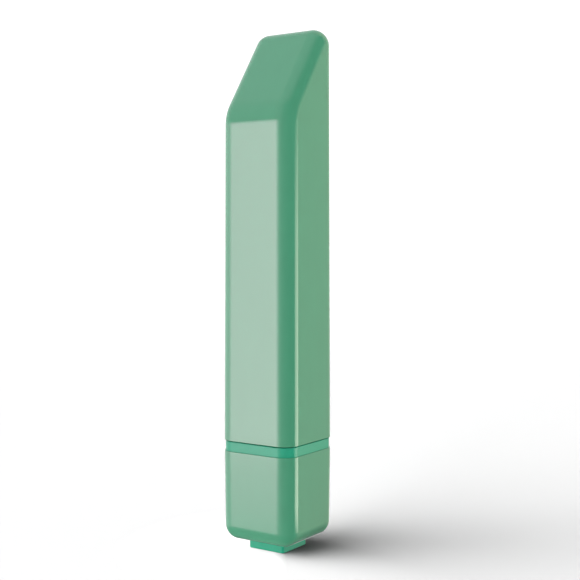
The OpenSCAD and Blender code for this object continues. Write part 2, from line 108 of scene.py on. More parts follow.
class Graph:
    """A node tree that is written as calls and expressions."""

    def __init__(self, tree: bpy.types.NodeTree) -> None:
        """Starts from an empty tree."""
        self.tree = tree
        tree.nodes.clear()

    def node(
        self,
        kind: str,
        settings: Mapping[str, object] | None = None,
        sockets: Mapping[str | int, Value] | None = None,
        out: str | int = 0,
    ) -> Sock:
        """Adds a node.

        Args:
            kind: The node's type.
            settings: Its own properties, set first. "stops" holds a ramp's places and levels.
            sockets: A value or a link for each input, by name or number.
            out: The output to return, by name or number.

        Returns:
            That output.
        """
        made = self.tree.nodes.new(kind)
        for name, value in (settings or {}).items():
            if name == "stops":
                self.set_stops(made.color_ramp, value)
            else:
                setattr(made, name, value)
        for key, value in (sockets or {}).items():
            if isinstance(value, Sock):
                self.tree.links.new(value.socket, made.inputs[key])
            else:
                made.inputs[key].default_value = value
        return Sock(self, made.outputs[out] if made.outputs else None)

    @staticmethod
    def set_stops(ramp: bpy.types.ColorRamp, stops: Levels) -> None:
        """Gives a ramp grey stops.

        Args:
            ramp: The ramp.
            stops: Pairs of place and level.
        """
        while len(ramp.elements) > 1:
            ramp.elements.remove(ramp.elements[-1])
        for number, (place, level) in enumerate(stops):
            element = ramp.elements.new(place) if number else ramp.elements[0]
            element.position = place
            element.color = (level, level, level, 1.0)

    def place(self, stretch: Sequence[float] = (1.0, 1.0, 1.0)) -> Sock:
        """The object's own coordinates, stretched along each axis."""
        raw = self.node("ShaderNodeTexCoord", out="Object")
        return self.node("ShaderNodeMapping", None, {"Vector": raw, "Scale": stretch})

    def split(self, vector: Sock) -> tuple[Sock, Sock, Sock]:
        """The three parts of a vector."""
        parts = self.node("ShaderNodeSeparateXYZ", None, {0: vector}).socket.node.outputs
        return Sock(self, parts[0]), Sock(self, parts[1]), Sock(self, parts[2])

    def noise(self, place: Sock, size: float, detail: float = 2.0) -> Sock:
        """Noise with features of about the given size in metres, from nought to one."""
        return self.node("ShaderNodeTexNoise", None, {"Vector": place, "Scale": 1 / size, "Detail": detail})

    def mix(self, factor: Value, first: Value, second: Value) -> Sock:
        """Mixes two colours."""
        sockets = {0: factor, MIX_FIRST: first, MIX_SECOND: second}
        return self.node("ShaderNodeMix", {"data_type": "RGBA"}, sockets, out=MIX_OUT)

    def shade(self, factor: Value, color: Color, spread: float) -> Sock:
        """A colour that varies by a share of itself either way, as the factor goes from nought to one."""
        return self.mix(factor, opaque(color, 1 - spread), opaque(color, 1 + spread))

    def vary(self, value: float, factor: Sock, spread: float) -> Sock:
        """A value that varies by a share of itself either way, as the factor goes from nought to one."""
        return value * (1 - spread + 2 * spread * factor)

    def step(self, value: Sock, low: float, high: float) -> Sock:
        """Goes smoothly from nought at the low value to one at the high value."""
        limits = {"Value": value, "From Min": low, "From Max": high}
        return self.node("ShaderNodeMapRange", {"interpolation_type": "SMOOTHSTEP"}, limits)

    def band(self, value: Sock, low: float, high: float, soft: float) -> Sock:
        """Is one between two values, and falls to nought outside them over the soft width."""
        return self.step(value, low - soft, low) * (1 - self.step(value, high, high + soft))

    def ramp(self, value: Sock, stops: Levels) -> Sock:
        """Follows straight lines between levels.

        Args:
            value: What the level depends on.
            stops: Pairs of value and level, where levels stay between nought and one.

        Returns:
            The level.
        """
        low, high = stops[0][0], stops[-1][0]
        share = (value - low) * (1 / (high - low))
        places = [((at - low) / (high - low), level) for at, level in stops]
        return self.node("ShaderNodeValToRGB", {"stops": places}, {0: share})

    def bump(self, height: Sock, depth: float) -> Sock:
        """A normal with relief of the given depth in metres."""
        return self.node("ShaderNodeBump", None, {"Height": height, "Distance": depth})


@dataclass(frozen=True)
class Finish:
    """A surface: its colour, how rough it is, and how much both vary over it."""

    name: str
    color: Color
    roughness: float
    mottle: float = 0.03
    patch: float = 4 * MM
    spread: float = 0.2
    detail: float = 3.0

    def material(self) -> bpy.types.Material:
        """Makes the material once.

        Returns:
            The material, which all pieces of this finish share.
        """
        ready = bpy.data.materials.get(self.name)
        if ready is not None:
            return ready
        made = bpy.data.materials.new(self.name)
        made.use_nodes = True
        graph = Graph(made.node_tree)
        shader = graph.node("ShaderNodeBsdfPrincipled", None, self.sockets(graph))
        graph.node("ShaderNodeOutputMaterial", None, {"Surface": shader})
        return made

    def sockets(self, graph: Graph) -> dict[str | int, Value]:
        """An even matt colour with a trace of mottle; other finishes have their own.

        Args:
            graph: The material's graph.

        Returns:
            A value or a link for each of the shader's sockets that is set.
        """
        tone = graph.noise(graph.place(), self.patch)
        color = graph.shade(tone, self.color, self.mottle)
        return {"Base Color": color, "Roughness": self.roughness, "Specular IOR Level": 0.0}


@dataclass(frozen=True)
class FloorPaper(Finish):
    """White paper that glows far off, where its end would show, and glows beside the foot on its lit side:
    painted light that washes out the shadow there.
    """

    near: float = 0.3
    far: float = 1.2
    lift: float = 0.4
    lit_side: tuple[float, float] = (-0.83, -0.56)
    foot: tuple[float, float] = (-2.5 * MM, 1.5 * MM)
    painted_glow_reach: tuple[float, float] = (14 * MM, 40 * MM)

    def sockets(self, graph: Graph) -> dict[str | int, Value]:
        """Matt paper that glows far from the object, and glows close to it on its lit side, as painted light
        over the shadow there.

        Args:
            graph: The material's graph.

        Returns:
            The shader's sockets.
        """
        place = graph.place()
        x, y, _ = graph.split(place)
        away = graph.node("ShaderNodeVectorMath", {"operation": "LENGTH"}, {0: place}, out="Value")
        # Painted light: a glow on the foot's lit side that washes out the shadow under the base.
        side = graph.step(x * self.lit_side[0] + y * self.lit_side[1], *self.foot)
        level = graph.step(away, self.near, self.far) + side * (1 - graph.step(away, *self.painted_glow_reach))
        light = graph.mix(level, BLACK, WHITE)
        return super().sockets(graph) | {"Emission Color": light, "Emission Strength": self.lift}


@dataclass(frozen=True)
class GlossPlastic(Finish):
    """Moulded plastic off a polished tool: faint flow marks and a skin that is not quite flat."""

    spread: float = 0.15
    flow_run: tuple[float, float, float] = (1.0, 1.0, 0.35)
    skin: float = 1.6 * MM
    skin_depth: float = 2e-7
    ior: float = 1.5
    shine: float = 0.5

    def sockets(self, graph: Graph) -> dict[str | int, Value]:
        """Colour from slow flow marks, roughness and relief from the fine skin.

        Args:
            graph: The material's graph.

        Returns:
            The shader's sockets.
        """
        flow = graph.noise(graph.place(self.flow_run), self.patch)
        skin = graph.noise(graph.place(), self.skin, self.detail)
        return {
            "Base Color": graph.shade(flow, self.color, self.mottle),
            "Roughness": graph.vary(self.roughness, skin, self.spread),
            "IOR": self.ior,
            "Specular IOR Level": self.shine,
            "Normal": graph.bump(skin, self.skin_depth),
        }


@dataclass(frozen=True)
class GrainedStuff(Finish):
    """Matt plastic, rubber or ferrite with a fine grain."""

    detail: float = 4.0
    grain: float = 0.25 * MM
    grain_depth: float = 4e-6

    def sockets(self, graph: Graph) -> dict[str | int, Value]:
        """Mottled colour, with roughness and relief from the grain.

        Args:
            graph: The material's graph.

        Returns:
            The shader's sockets.
        """
        tone = graph.noise(graph.place(), self.patch)
        grain = graph.noise(graph.place(), self.grain, self.detail)
        return {
            "Base Color": graph.shade(tone, self.color, self.mottle),
            "Roughness": graph.vary(self.roughness, grain, self.spread),
            "Normal": graph.bump(grain, self.grain_depth),
        }


class Lines(Enum):
    """Which way the fine lines of a metal run, as the stretch of its coordinates."""

    NONE = (1.0, 1.0, 1.0)
    ROUND = (0.03, 0.03, 1.0)
    UPRIGHT = (1.0, 1.0, 0.03)


@dataclass(frozen=True)
class Metal(Finish):
    """Bare or enamelled metal with tool lines."""

    spread: float = 0.3
    lines: Lines = Lines.NONE
    line: float = 0.15 * MM
    line_depth: float = 1e-6
    coat: float = 0.0

    def sockets(self, graph: Graph) -> dict[str | int, Value]:
        """Mottled colour, with roughness and relief from the lines.

        Args:
            graph: The material's graph.

        Returns:
            The shader's sockets.
        """
        tone = graph.noise(graph.place(), self.patch)
        lines = graph.noise(graph.place(self.lines.value), self.line, self.detail)
        return {
            "Base Color": graph.shade(tone, self.color, self.mottle),
            "Metallic": 1.0,
            "Roughness": graph.vary(self.roughness, lines, self.spread),
            "Coat Weight": self.coat,
            "Normal": graph.bump(lines, self.line_depth),
        }


@dataclass(frozen=True)
class StackedSteel(Metal):
    """Thin steel sheets pressed into a stack."""

    sheet: float = 0.35 * MM
    joint: tuple[float, float] = (0.1, 0.4)
    joint_shade: float = 0.4
    joint_depth: float = 2e-5

    def sockets(self, graph: Graph) -> dict[str | int, Value]:
        """Dark joints between the sheets, up the stack.

        Args:
            graph: The material's graph.

        Returns:
            The shader's sockets.
        """
        upright = graph.split(graph.place())[2]
        share = upright.math("PINGPONG", upright, self.sheet / 2) * (2 / self.sheet)
        edge = graph.step(share, *self.joint)
        return super().sockets(graph) | {
            "Base Color": graph.mix(edge, opaque(self.color, self.joint_shade), opaque(self.color)),
            "Normal": graph.bump(edge, self.joint_depth),
        }


@dataclass(frozen=True)
class CellFilm(Finish):
    """Plain shrink film in two colours, with a thin pale line between them."""

    band_color: Color = (0.55, 0.56, 0.55)
    band_z: float = 56 * MM
    line_w: float = 0.5 * MM
    soft: float = 0.05 * MM
    ripple_run: tuple[float, float, float] = (1.0, 1.0, 0.25)
    ripple_depth: float = 8e-6
    coat: float = 0.5

    def sockets(self, graph: Graph) -> dict[str | int, Value]:
        """Colour by height, with faint ripples in the film.

        Args:
            graph: The material's graph.

        Returns:
            The shader's sockets.
        """
        upright = graph.split(graph.place())[2]
        ripple = graph.noise(graph.place(self.ripple_run), self.patch)
        pale = opaque(self.band_color)
        upper = graph.step(upright, self.band_z - self.soft, self.band_z)
        line = graph.band(upright, self.band_z - 3 * self.line_w, self.band_z - 2 * self.line_w, self.soft)
        color = graph.mix(upper, graph.shade(ripple, self.color, self.mottle), pale)
        return {
            "Base Color": graph.mix(line, color, pale),
            "Roughness": graph.vary(self.roughness, ripple, self.spread),
            "Coat Weight": self.coat,
            "Normal": graph.bump(ripple, self.ripple_depth),
        }


@dataclass(frozen=True)
class BoardLacquer(Finish):
    """Green lacquer over copper tracks, with bare tinned pads round the two screws."""

    tin: Color = (0.62, 0.62, 0.58)
    pad_at: float = 6 * MM
    pad_r: float = 1.6 * MM
    pad_soft: float = 0.05 * MM
    track: tuple[float, float] = (0.05, 0.09)
    track_level: float = 1.7
    track_rough: float = 0.1
    track_depth: float = 1.5e-5

    def sockets(self, graph: Graph) -> dict[str | int, Value]:
        """Paler, raised tracks under the lacquer, and pads where it is left off.

        Args:
            graph: The material's graph.

        Returns:
            The shader's sockets.
        """
        place, flat = graph.place(), graph.place((1.0, 1.0, 0.0))
        cells = {"Vector": place, "Scale": 1 / self.patch}
        gap = graph.node("ShaderNodeTexVoronoi", {"feature": "DISTANCE_TO_EDGE"}, cells, out="Distance")
        track = 1 - graph.step(gap, *self.track)
        how = {"operation": "DISTANCE"}
        away = [
            graph.node("ShaderNodeVectorMath", how, {0: flat, 1: (x, -x, 0.0)}, out="Value")
            for x in (self.pad_at, -self.pad_at)
        ]
        nearest = track.math("MINIMUM", *away)
        pad = 1 - graph.step(nearest, self.pad_r, self.pad_r + self.pad_soft)
        lacquer = graph.mix(track, opaque(self.color), opaque(self.color, self.track_level))
        return {
            "Base Color": graph.mix(pad, lacquer, opaque(self.tin)),
            "Metallic": pad,
            "Roughness": self.roughness + self.track_rough * track,
            "Normal": graph.bump(track, self.track_depth),
        }


MINT = GlossPlastic("mint_gloss_plastic", (0.065, 0.275, 0.159), 0.05)
GREEN = GlossPlastic("green_satin_plastic", (0.023, 0.305, 0.181), 0.2, shine=0.26)
# The button's green is the ring's green painted brighter: painted light that makes up for the shade the base
# and the floor's shadow put on it.
BUTTON_GREEN_PAINTED_LIT = GlossPlastic("green_button_plastic_painted_lit", (0.026, 0.38, 0.226), 0.2, shine=0.16)
TRAY = GrainedStuff("pale_tray_plastic", (0.68, 0.68, 0.63), 0.5)
BELL = GrainedStuff("ivory_bell_plastic", (0.74, 0.71, 0.62), 0.42)
PLUNGER = GrainedStuff("ivory_plunger_plastic", (0.70, 0.69, 0.64), 0.38)
CHIP = GrainedStuff("black_moulded_resin", (0.018, 0.018, 0.02), 0.5, mottle=0.1)
RUBBER = GrainedStuff("black_rubber", (0.028, 0.030, 0.032), 0.6, mottle=0.08, grain=0.4 * MM)
FERRITE = GrainedStuff("grey_ferrite", (0.055, 0.057, 0.062), 0.55, mottle=0.15, patch=1 * MM)
CERAMIC = GrainedStuff("tan_ceramic", (0.36, 0.24, 0.13), 0.45, mottle=0.08, patch=0.6 * MM)
CARD = GrainedStuff("black_card", (0.03, 0.03, 0.03), 0.8, mottle=0.1, patch=0.8 * MM)
RED_SHEATH = GlossPlastic("red_wire_sheath", (0.42, 0.025, 0.02), 0.3, skin=0.5 * MM)
BLACK_SHEATH = GlossPlastic("black_wire_sheath", (0.02, 0.02, 0.022), 0.3, skin=0.5 * MM)
FILM = CellFilm("two_colour_cell_film", (0.02, 0.075, 0.10), 0.24, mottle=0.06)
BOARD = BoardLacquer("green_board_lacquer", (0.012, 0.11, 0.045), 0.3, patch=2.2 * MM)
SCREW_STEEL = Metal("plated_screw_steel", (0.60, 0.60, 0.58), 0.28)
MOTOR_STEEL = Metal("drawn_motor_steel", (0.56, 0.57, 0.57), 0.25, lines=Lines.UPRIGHT)
SHAFT_STEEL = Metal("ground_shaft_steel", (0.62, 0.62, 0.62), 0.16, lines=Lines.ROUND)
SPRING_STEEL = Metal("bright_spring_wire", (0.64, 0.63, 0.60), 0.22, lines=Lines.UPRIGHT)
CELL_STEEL = Metal("bright_cell_steel", (0.66, 0.66, 0.64), 0.2, lines=Lines.ROUND)
CAP_STEEL = Metal("bright_cap_steel", (0.68, 0.68, 0.66), 0.18)
BRASS = Metal("contact_brass", (0.66, 0.47, 0.20), 0.26, lines=Lines.UPRIGHT)
BRONZE = Metal("sintered_bronze", (0.48, 0.31, 0.16), 0.45, mottle=0.12, patch=0.5 * MM)
COPPER = Metal("bare_copper", (0.66, 0.30, 0.16), 0.24)
ENAMELLED = Metal("enamelled_copper", (0.60, 0.24, 0.09), 0.3, coat=0.5)
HEAVY = Metal("sintered_weight_metal", (0.34, 0.34, 0.35), 0.42, mottle=0.1, patch=0.8 * MM)
SOLDER = Metal("solder", (0.62, 0.62, 0.60), 0.22)
LAMINATED = StackedSteel("stacked_core_steel", (0.36, 0.36, 0.37), 0.35)
FLOOR = FloorPaper("floor_paper", (0.125, 0.125, 0.125), 1.0, 0.004, 60 * MM)

SIDES = ((1, -1), (1, 1), (-1, 1), (-1, -1))
FLAT_STOPS = (0.02, 0.16, 0.34, 0.5, 0.66, 0.84, 0.98)
# How many steps a quarter of a ring has, or an arc of a profile; the last is for an arc of a small edge.
FINE, COARSE, SMALL = 18, 7, 4
SMALL_EDGE = 0.5
# A holding point stands off an edge by this share of its radius, up to the radius of a wide edge.
HOLD_SHARE = 0.1
WIDE_EDGE = 1.0
# Edges that turn more than SHARP are drawn sharp, and faces that turn less than FLAT are one face.
SHARP = math.radians(40)
FLAT = math.radians(0.5)
TINY_TURN = 1e-6
# The bevel tool's profile for a round edge.
ARC = 0.5
# Points nearer than this are one point.
MERGE = 1e-4
# How far a cutting tool reaches past the part.
PAST = 1.0


def arc(first: Vector, second: Vector, share: float) -> Vector:
    """Turns one vector towards another of the same length.

    Args:
        first: The vector to start from.
        second: The vector to turn to.
        share: How much of the way it goes, from nought to one.

    Returns:
        The vector between them.
    """
    turn = first.angle(second)
    if turn < TINY_TURN:
        return first.copy()
    return (math.sin((1 - share) * turn) * first + math.sin(share * turn) * second) / math.sin(turn)


def around(corner: Callable[[int, float], Vector], steps: int = FINE) -> Ring:
    """Makes a ring of four corner arcs with flats between them.

    Args:
        corner: Gives the point of corner 0 to 3 at an angle from +X. Corner 0 is front right, and they go
            round anticlockwise.
        steps: How many steps each arc has.

    Returns:
        The ring, from the middle of the front flat.
    """
    angles = [[math.radians(90 * (k - 1 + j / steps)) for j in range(steps + 1)] for k in range(4)]
    arcs = [[corner(k, angle) for angle in angles[k]] for k in range(4)]
    ring: Ring = []
    for k in range(4):
        start, end = arcs[k][-1], arcs[(k + 1) % 4][0]
        ring += arcs[k] + [start.lerp(end, share) for share in FLAT_STOPS]
    front = len(FLAT_STOPS) // 2 + 1
    return ring[-front:] + ring[:-front]


@dataclass(frozen=True)
class Stop:
    """One corner of a profile that is carried round the upright axis.

    half is how far the flats stand from the axis, and core how far the centres of the corner arcs stand from
    the middle planes, so a core of nought gives a circle. edge is the radius that rounds this corner of the
    profile.
    """

    half: float
    z: float
    edge: float = 0.0
    core: float = 0.0

    def ring(self, steps: int = FINE) -> Ring:
        """Carries the stop round the axis.

        Args:
            steps: How many steps each corner has.

        Returns:
            The ring.
        """
        r = self.half - self.core

        def corner(k: int, angle: float) -> Vector:
            """A point of corner k, at an angle from +X."""
            x, y = (side * self.core for side in SIDES[k])
            return Vector((x + r * math.cos(angle), y + r * math.sin(angle), self.z))

        return around(corner, steps)


def rounded(stops: Sequence[Stop], closed: bool) -> list[Stop]:
    """Rounds the edges of a profile.

    Args:
        stops: The profile's corners.
        closed: Whether the profile runs back to its first stop.

    Returns:
        The profile's points, with an arc at each rounded corner and a holding point just before and after it.
    """
    made: list[Stop] = []
    for number, stop in enumerate(stops):
        if not stop.edge or (not closed and number in (0, len(stops) - 1)):
            made.append(stop)
            continue
        here = Vector((stop.half, stop.z))
        ways = [Vector((s.half, s.z)) - here for s in (stops[number - 1], stops[(number + 1) % len(stops)])]
        back, on = (way.normalized() for way in ways)
        turn = back.angle(on)
        cut = stop.edge / math.tan(turn / 2)
        centre = here + (back + on).normalized() * (stop.edge / math.sin(turn / 2))
        hold = HOLD_SHARE * min(stop.edge, WIDE_EDGE)
        steps = SMALL if stop.edge < SMALL_EDGE else FINE
        first, last = here + back * cut, here + on * cut
        points = [first + back * hold]
        points += [centre + arc(first - centre, last - centre, j / steps) for j in range(steps + 1)]
        points.append(last + on * hold)
        made += [Stop(p.x, p.y, core=stop.core) for p in points]
    return made


def plain_mesh(made: bpy.types.Object) -> bpy.types.Mesh:
    """Works an object's modifiers into a plain mesh, and takes the object away.

    Args:
        made: The object.

    Returns:
        The mesh.
    """
    graph = bpy.context.evaluated_depsgraph_get()
    mesh = bpy.data.meshes.new_from_object(made.evaluated_get(graph), depsgraph=graph)
    made.modifiers.clear()
    bpy.data.objects.remove(made)
    return mesh


def linked(name: str, mesh: bpy.types.Mesh) -> bpy.types.Object:
    """Makes an object of a mesh and links it to the scene.

    Args:
        name: The object's name.
        mesh: The mesh.

    Returns:
        The object.
    """
    made = bpy.data.objects.new(name, mesh)
    bpy.context.scene.collection.objects.link(made)
    return made


class Work(Enum):
    """What a Boolean does with another solid."""

    CUT = "DIFFERENCE"
    JOIN = "UNION"


class Solid:
    """A mesh in the making, in millimetres, where the piece will stand."""

    def __init__(self, steps: int = FINE) -> None:
        """Starts with nothing; steps is how many steps a quarter of a ring has."""
        self.bm = bmesh.new()
        self.steps = steps

    @classmethod
    def of_node(cls, node: str) -> "Solid":
        """Starts from a merged copy of a node, with its flat faces made whole.

        Args:
            node: The node's name.

        Returns:
            The solid.
        """
        made = cls()
        bm = made.bm
        bm.from_mesh(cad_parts[node].data)
        bmesh.ops.scale(bm, vec=(1 / MM,) * 3, verts=bm.verts)
        bmesh.ops.remove_doubles(bm, verts=bm.verts, dist=MERGE)
        bmesh.ops.dissolve_limit(bm, angle_limit=FLAT, verts=bm.verts, edges=bm.edges, delimit=set())
        return made

    def soften(self, edge: float, steps: int = 2) -> "Solid":
        """Rounds every sharp edge, where there is room.

        Args:
            edge: How far the rounding reaches from the edge.
            steps: How many steps it has.

        Returns:
            The solid itself.
        """
        sharp = [e for e in self.bm.edges if e.is_manifold and e.calc_face_angle() > SHARP]
        bmesh.ops.bevel(
            self.bm, geom=sharp, offset=edge, segments=steps, profile=ARC, affect="EDGES", clamp_overlap=True
        )
        return self

    def loft(self, rings: Sequence[Ring], closed: bool = False) -> list[list[bmesh.types.BMVert]]:
        """Joins rings of one count by quads.

        Args:
            rings: The rings in order.
            closed: Whether the last ring is joined back to the first.

        Returns:
            The vertices of each ring.
        """
        rows = [[self.bm.verts.new(p) for p in ring] for ring in rings]
        pairs = list(zip(rows, rows[1:])) + ([(rows[-1], rows[0])] if closed else [])
        for low, high in pairs:
            for k, vert in enumerate(low):
                self.bm.faces.new((low[k - 1], vert, high[k], high[k - 1]))
        return rows

    def cap(self, row: Sequence[bmesh.types.BMVert]) -> None:
        """Closes a ring that starts on the middle plane, by strips from its left half to its right half.

        Args:
            row: The ring's vertices in order.
        """
        for k in range(len(row) // 2):
            corners = (row[k], row[k + 1], row[-k - 1], row[-k])
            self.bm.faces.new(tuple(dict.fromkeys(corners)))

    def stack(self, stops: Sequence[Stop], closed: bool = False, at: Sequence[float] = (0, 0, 0)) -> "Solid":
        """Carries a profile round an upright axis.

        Args:
            stops: The profile's corners.
            closed: Whether the profile closes on itself; an open one is capped at both ends.
            at: Where the axis and the height of nought stand.

        Returns:
            The solid itself.
        """
        place = Vector(at)
        rings = [[p + place for p in stop.ring(self.steps)] for stop in rounded(stops, closed)]
        rows = self.loft(rings, closed)
        if not closed:
            self.cap(rows[0])
            self.cap(rows[-1])
        return self

    def tube(self, path: Sequence[Vector], radius: float, sides: int = 12) -> "Solid":
        """Carries a circle along a path.

        Args:
            path: The points of the path.
            radius: The tube's radius.
            sides: How many sides the tube has.

        Returns:
            The solid itself.
        """
        rings: list[Ring] = []
        ways = [(b - a).normalized() for a, b in zip(path, path[1:])]
        across = ways[0].orthogonal().normalized()
        for number, point in enumerate(path):
            way = (ways[max(number - 1, 0)] + ways[min(number, len(ways) - 1)]).normalized()
            across = (across - way * across.dot(way)).normalized()
            beside = way.cross(across)
            turns = [2 * math.pi * k / sides for k in range(sides)]
            rings.append([point + radius * (math.cos(t) * across + math.sin(t) * beside) for t in turns])
        rows = self.loft(rings)
        self.bm.faces.new(rows[0])
        self.bm.faces.new(rows[-1])
        return self

    def leaf(self, bends: Sequence[Stop], half_width: float, thick: float, turned: bool) -> "Solid":
        """Bends a flat strip along a path.

        Args:
            bends: The path's corners, as depth and height, with the radius of each bend.
            half_width: Half the strip's width.
            thick: The strip's thickness.
            turned: Whether the strip is turned to the front.

        Returns:
            The solid itself.
        """
        path = [Vector((0, stop.half, stop.z)) for stop in rounded(bends, False)]
        w, t, c = half_width, thick / 2, thick / 4
        right = [(w - c, -t), (w, c - t), (w, t - c), (w - c, t)]
        section = right + [(-x, -y) for x, y in right]
        rings: list[Ring] = []
        for number, point in enumerate(path):
            way = (path[min(number + 1, len(path) - 1)] - path[max(number - 1, 0)]).normalized()
            out = Vector((0, way.z, -way.y))
            rings.append([point + Vector((x, 0, 0)) + y * out for x, y in section])
        if turned:
            rings = [[Vector((-p.x, -p.y, p.z)) for p in ring] for ring in rings]
        rows = self.loft(rings)
        self.bm.faces.new(rows[0])
        self.bm.faces.new(rows[-1])
        return self

    def block(
        self, low: Sequence[float], high: Sequence[float], edge: float = 0.0, steps: int = 3
    ) -> "Solid":
        """Adds a block between two corners.

        Args:
            low: The lowest corner.
            high: The highest corner.
            edge: How far its edges are rounded, if they are.
            steps: How many steps the rounding has.

        Returns:
            The solid itself.
        """
        size = [b - a for a, b in zip(low, high)]
        middle = [(a + b) / 2 for a, b in zip(low, high)]
        shape = Matrix.Translation(middle) @ Matrix.Diagonal((*size, 1.0))
        made = bmesh.ops.create_cube(self.bm, size=1.0, matrix=shape)["verts"]
        if edge:
            edges = list({e for vert in made for e in vert.link_edges})
            bmesh.ops.bevel(self.bm, geom=edges, offset=edge, segments=steps, profile=ARC, affect="EDGES")
        return self

    def tidy(self) -> None:
        """Merges doubles and turns the faces outward."""
        bmesh.ops.remove_doubles(self.bm, verts=self.bm.verts, dist=MERGE)
        bmesh.ops.recalc_face_normals(self.bm, faces=self.bm.faces)

    def trial(self) -> bpy.types.Object:
        """Turns the mesh into an object for a Boolean.

        Returns:
            The object; the solid is then empty.
        """
        self.tidy()
        mesh = bpy.data.meshes.new("trial")
        self.bm.to_mesh(mesh)
        self.bm.free()
        return linked("trial", mesh)

    def work(self, tool: "Solid", operation: Work) -> "Solid":
        """Joins another solid to this one, or cuts it away.

        Args:
            tool: The other solid, which is used up.
            operation: Which of the two is done.

        Returns:
            The solid itself.
        """
        whole, other = self.trial(), tool.trial()
        working = whole.modifiers.new("work", "BOOLEAN")
        working.operation = operation.value
        working.object = other
        self.bm = bmesh.new()
        self.bm.from_mesh(plain_mesh(whole))
        bpy.data.objects.remove(other)
        return self

    def cut(self, tool: "Solid") -> "Solid":
        """Takes another solid away from this one."""
        return self.work(tool, Work.CUT)

    def join(self, tool: "Solid") -> "Solid":
        """Adds another solid to this one."""
        return self.work(tool, Work.JOIN)

    def mesh(self, name: str) -> bpy.types.Mesh:
        """Finishes the mesh: in metres, and smooth but for its sharp edges.

        Args:
            name: The mesh's name.

        Returns:
            The mesh; the solid is then empty.
        """
        self.tidy()
        bmesh.ops.scale(self.bm, vec=(MM, MM, MM), verts=self.bm.verts)
        for face in self.bm.faces:
            face.smooth = True
        for edge in self.bm.edges:
            edge.smooth = edge.calc_face_angle(0.0) < SHARP
        mesh = bpy.data.meshes.new(name)
        self.bm.to_mesh(mesh)
        self.bm.free()
        return mesh

    def piece(self, name: str, finish: Finish, body: str, slot: str, *nodes: str) -> None:
        """Turns the solid into a finished piece; see placed()."""
        placed(name, self.mesh(name), finish, body, slot, *nodes)


def placed(name: str, mesh: bpy.types.Mesh, finish: Finish, body: str, slot: str, *nodes: str) -> None:
    """Links a finished mesh as a piece that rides on a body.

    Args:
        name: The piece's name.
        mesh: Its mesh, in metres, in its place.
        finish: What it is dressed in.
        body: The body that it rides on.
        slot: Not used.
        nodes: The nodes that it stands for.
    """
    made = linked(name, mesh)
    mesh.materials.clear()
    mesh.materials.append(finish.material())
    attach(made, body)
    if nodes:
        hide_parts(*nodes)
    log.info("%s rides on %s, with %d faces", name, body, len(mesh.polygons))


def box(node: str) -> tuple[Vector, Vector]:
    """The lowest and highest corner of a node, in millimetres."""
    low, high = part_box(node)
    return low / MM, high / MM


class Pattern:
    """A Geometry Nodes tree with named inputs, whose result becomes a plain mesh."""

    def __init__(self, name: str, inputs: Mapping[str, str]) -> None:
        """Starts a tree.

        Args:
            name: The tree's name.
            inputs: The kind of each named input.
        """
        tree = bpy.data.node_groups.new(name, "GeometryNodeTree")
        self.graph = Graph(tree)
        add = tree.interface.new_socket
        add("Geometry", in_out="OUTPUT", socket_type="NodeSocketGeometry")
        kinds = {"Geometry": "Geometry", **inputs, "Material": "Material"}
        self.keys = {
            given: add(given, in_out="INPUT", socket_type="NodeSocket" + kind).identifier
            for given, kind in kinds.items()
        }
        self.given = tree.nodes.new("NodeGroupInput")

    def __getitem__(self, name: str) -> Sock:
        """One of the tree's inputs."""
        return Sock(self.graph, self.given.outputs[name])

    def close(self, shape: Sock) -> None:
        """Ends the tree by making its copies real and dressing them.

        Args:
            shape: What the tree has made.
        """
        node = self.graph.node
        real = node("GeometryNodeRealizeInstances", None, {"Geometry": shape})
        dressed = node("GeometryNodeSetMaterial", None, {"Geometry": real, "Material": self["Material"]})
        node("NodeGroupOutput", None, {0: dressed})

    def mesh(self, host: bpy.types.Mesh, finish: Finish, **values: object) -> bpy.types.Mesh:
        """Works the tree out.

        Args:
            host: The mesh that goes in.
            finish: The finish whose material the tree sets.
            values: The other inputs, with _ for the spaces in their names.

        Returns:
            The result as a plain mesh.
        """
        made = linked("pattern", host)
        modifier = made.modifiers.new("pattern", "NODES")
        modifier.node_group = self.graph.tree
        for name, value in values.items():
            modifier[self.keys[name.replace("_", " ")]] = value
        modifier[self.keys["Material"]] = finish.material()
        return plain_mesh(made)


class Repeat(Pattern):
    """Copies of the mesh that goes in, along a line and then in rows of that line."""

    def __init__(self) -> None:
        """Builds the tree."""
        inputs = {"Turn": "Vector", "First": "Vector", "Last": "Vector", "Count": "Int"}
        super().__init__("repeat", inputs | {"Row step": "Vector", "Rows": "Int"})
        node = self.graph.node
        ends = {"Count": self["Count"], "Start Location": self["First"], "Offset": self["Last"]}
        line = node("GeometryNodeMeshLine", {"mode": "END_POINTS"}, ends)
        turn = node("FunctionNodeEulerToRotation", None, {0: self["Turn"]})
        copies = {"Points": line, "Instance": self["Geometry"], "Rotation": turn}
        row = node("GeometryNodeInstanceOnPoints", None, copies)
        steps = node("GeometryNodeMeshLine", None, {"Count": self["Rows"], "Offset": self["Row step"]})
        self.close(node("GeometryNodeInstanceOnPoints", None, {"Points": steps, "Instance": row}))


class Coil(Pattern):
    """A tapering coil of round wire, from its lower end up."""

    turn_steps: int = 40
    wire_sides: int = 12

    def __init__(self) -> None:
        """Builds the tree."""
        sizes = ("Turns", "Lower radius", "Upper radius", "Rise", "Wire radius")
        super().__init__("coil", dict.fromkeys(sizes, "Float") | {"Lift": "Vector"})
        node = self.graph.node
        shape = {"Start Radius": self["Lower radius"], "End Radius": self["Upper radius"]}
        shape |= {"Height": self["Rise"], "Rotations": self["Turns"], "Reverse": True}
        spiral = node("GeometryNodeCurveSpiral", None, {"Resolution": self.turn_steps} | shape)
        circle = {"Resolution": self.wire_sides, "Radius": self["Wire radius"]}
        wire = node("GeometryNodeCurvePrimitiveCircle", None, circle)
        ends = {"Curve": spiral, "Profile Curve": wire, "Fill Caps": True}
        coil = node("GeometryNodeCurveToMesh", None, ends)
        self.close(node("GeometryNodeTransform", None, {"Geometry": coil, "Translation": self["Lift"]}))


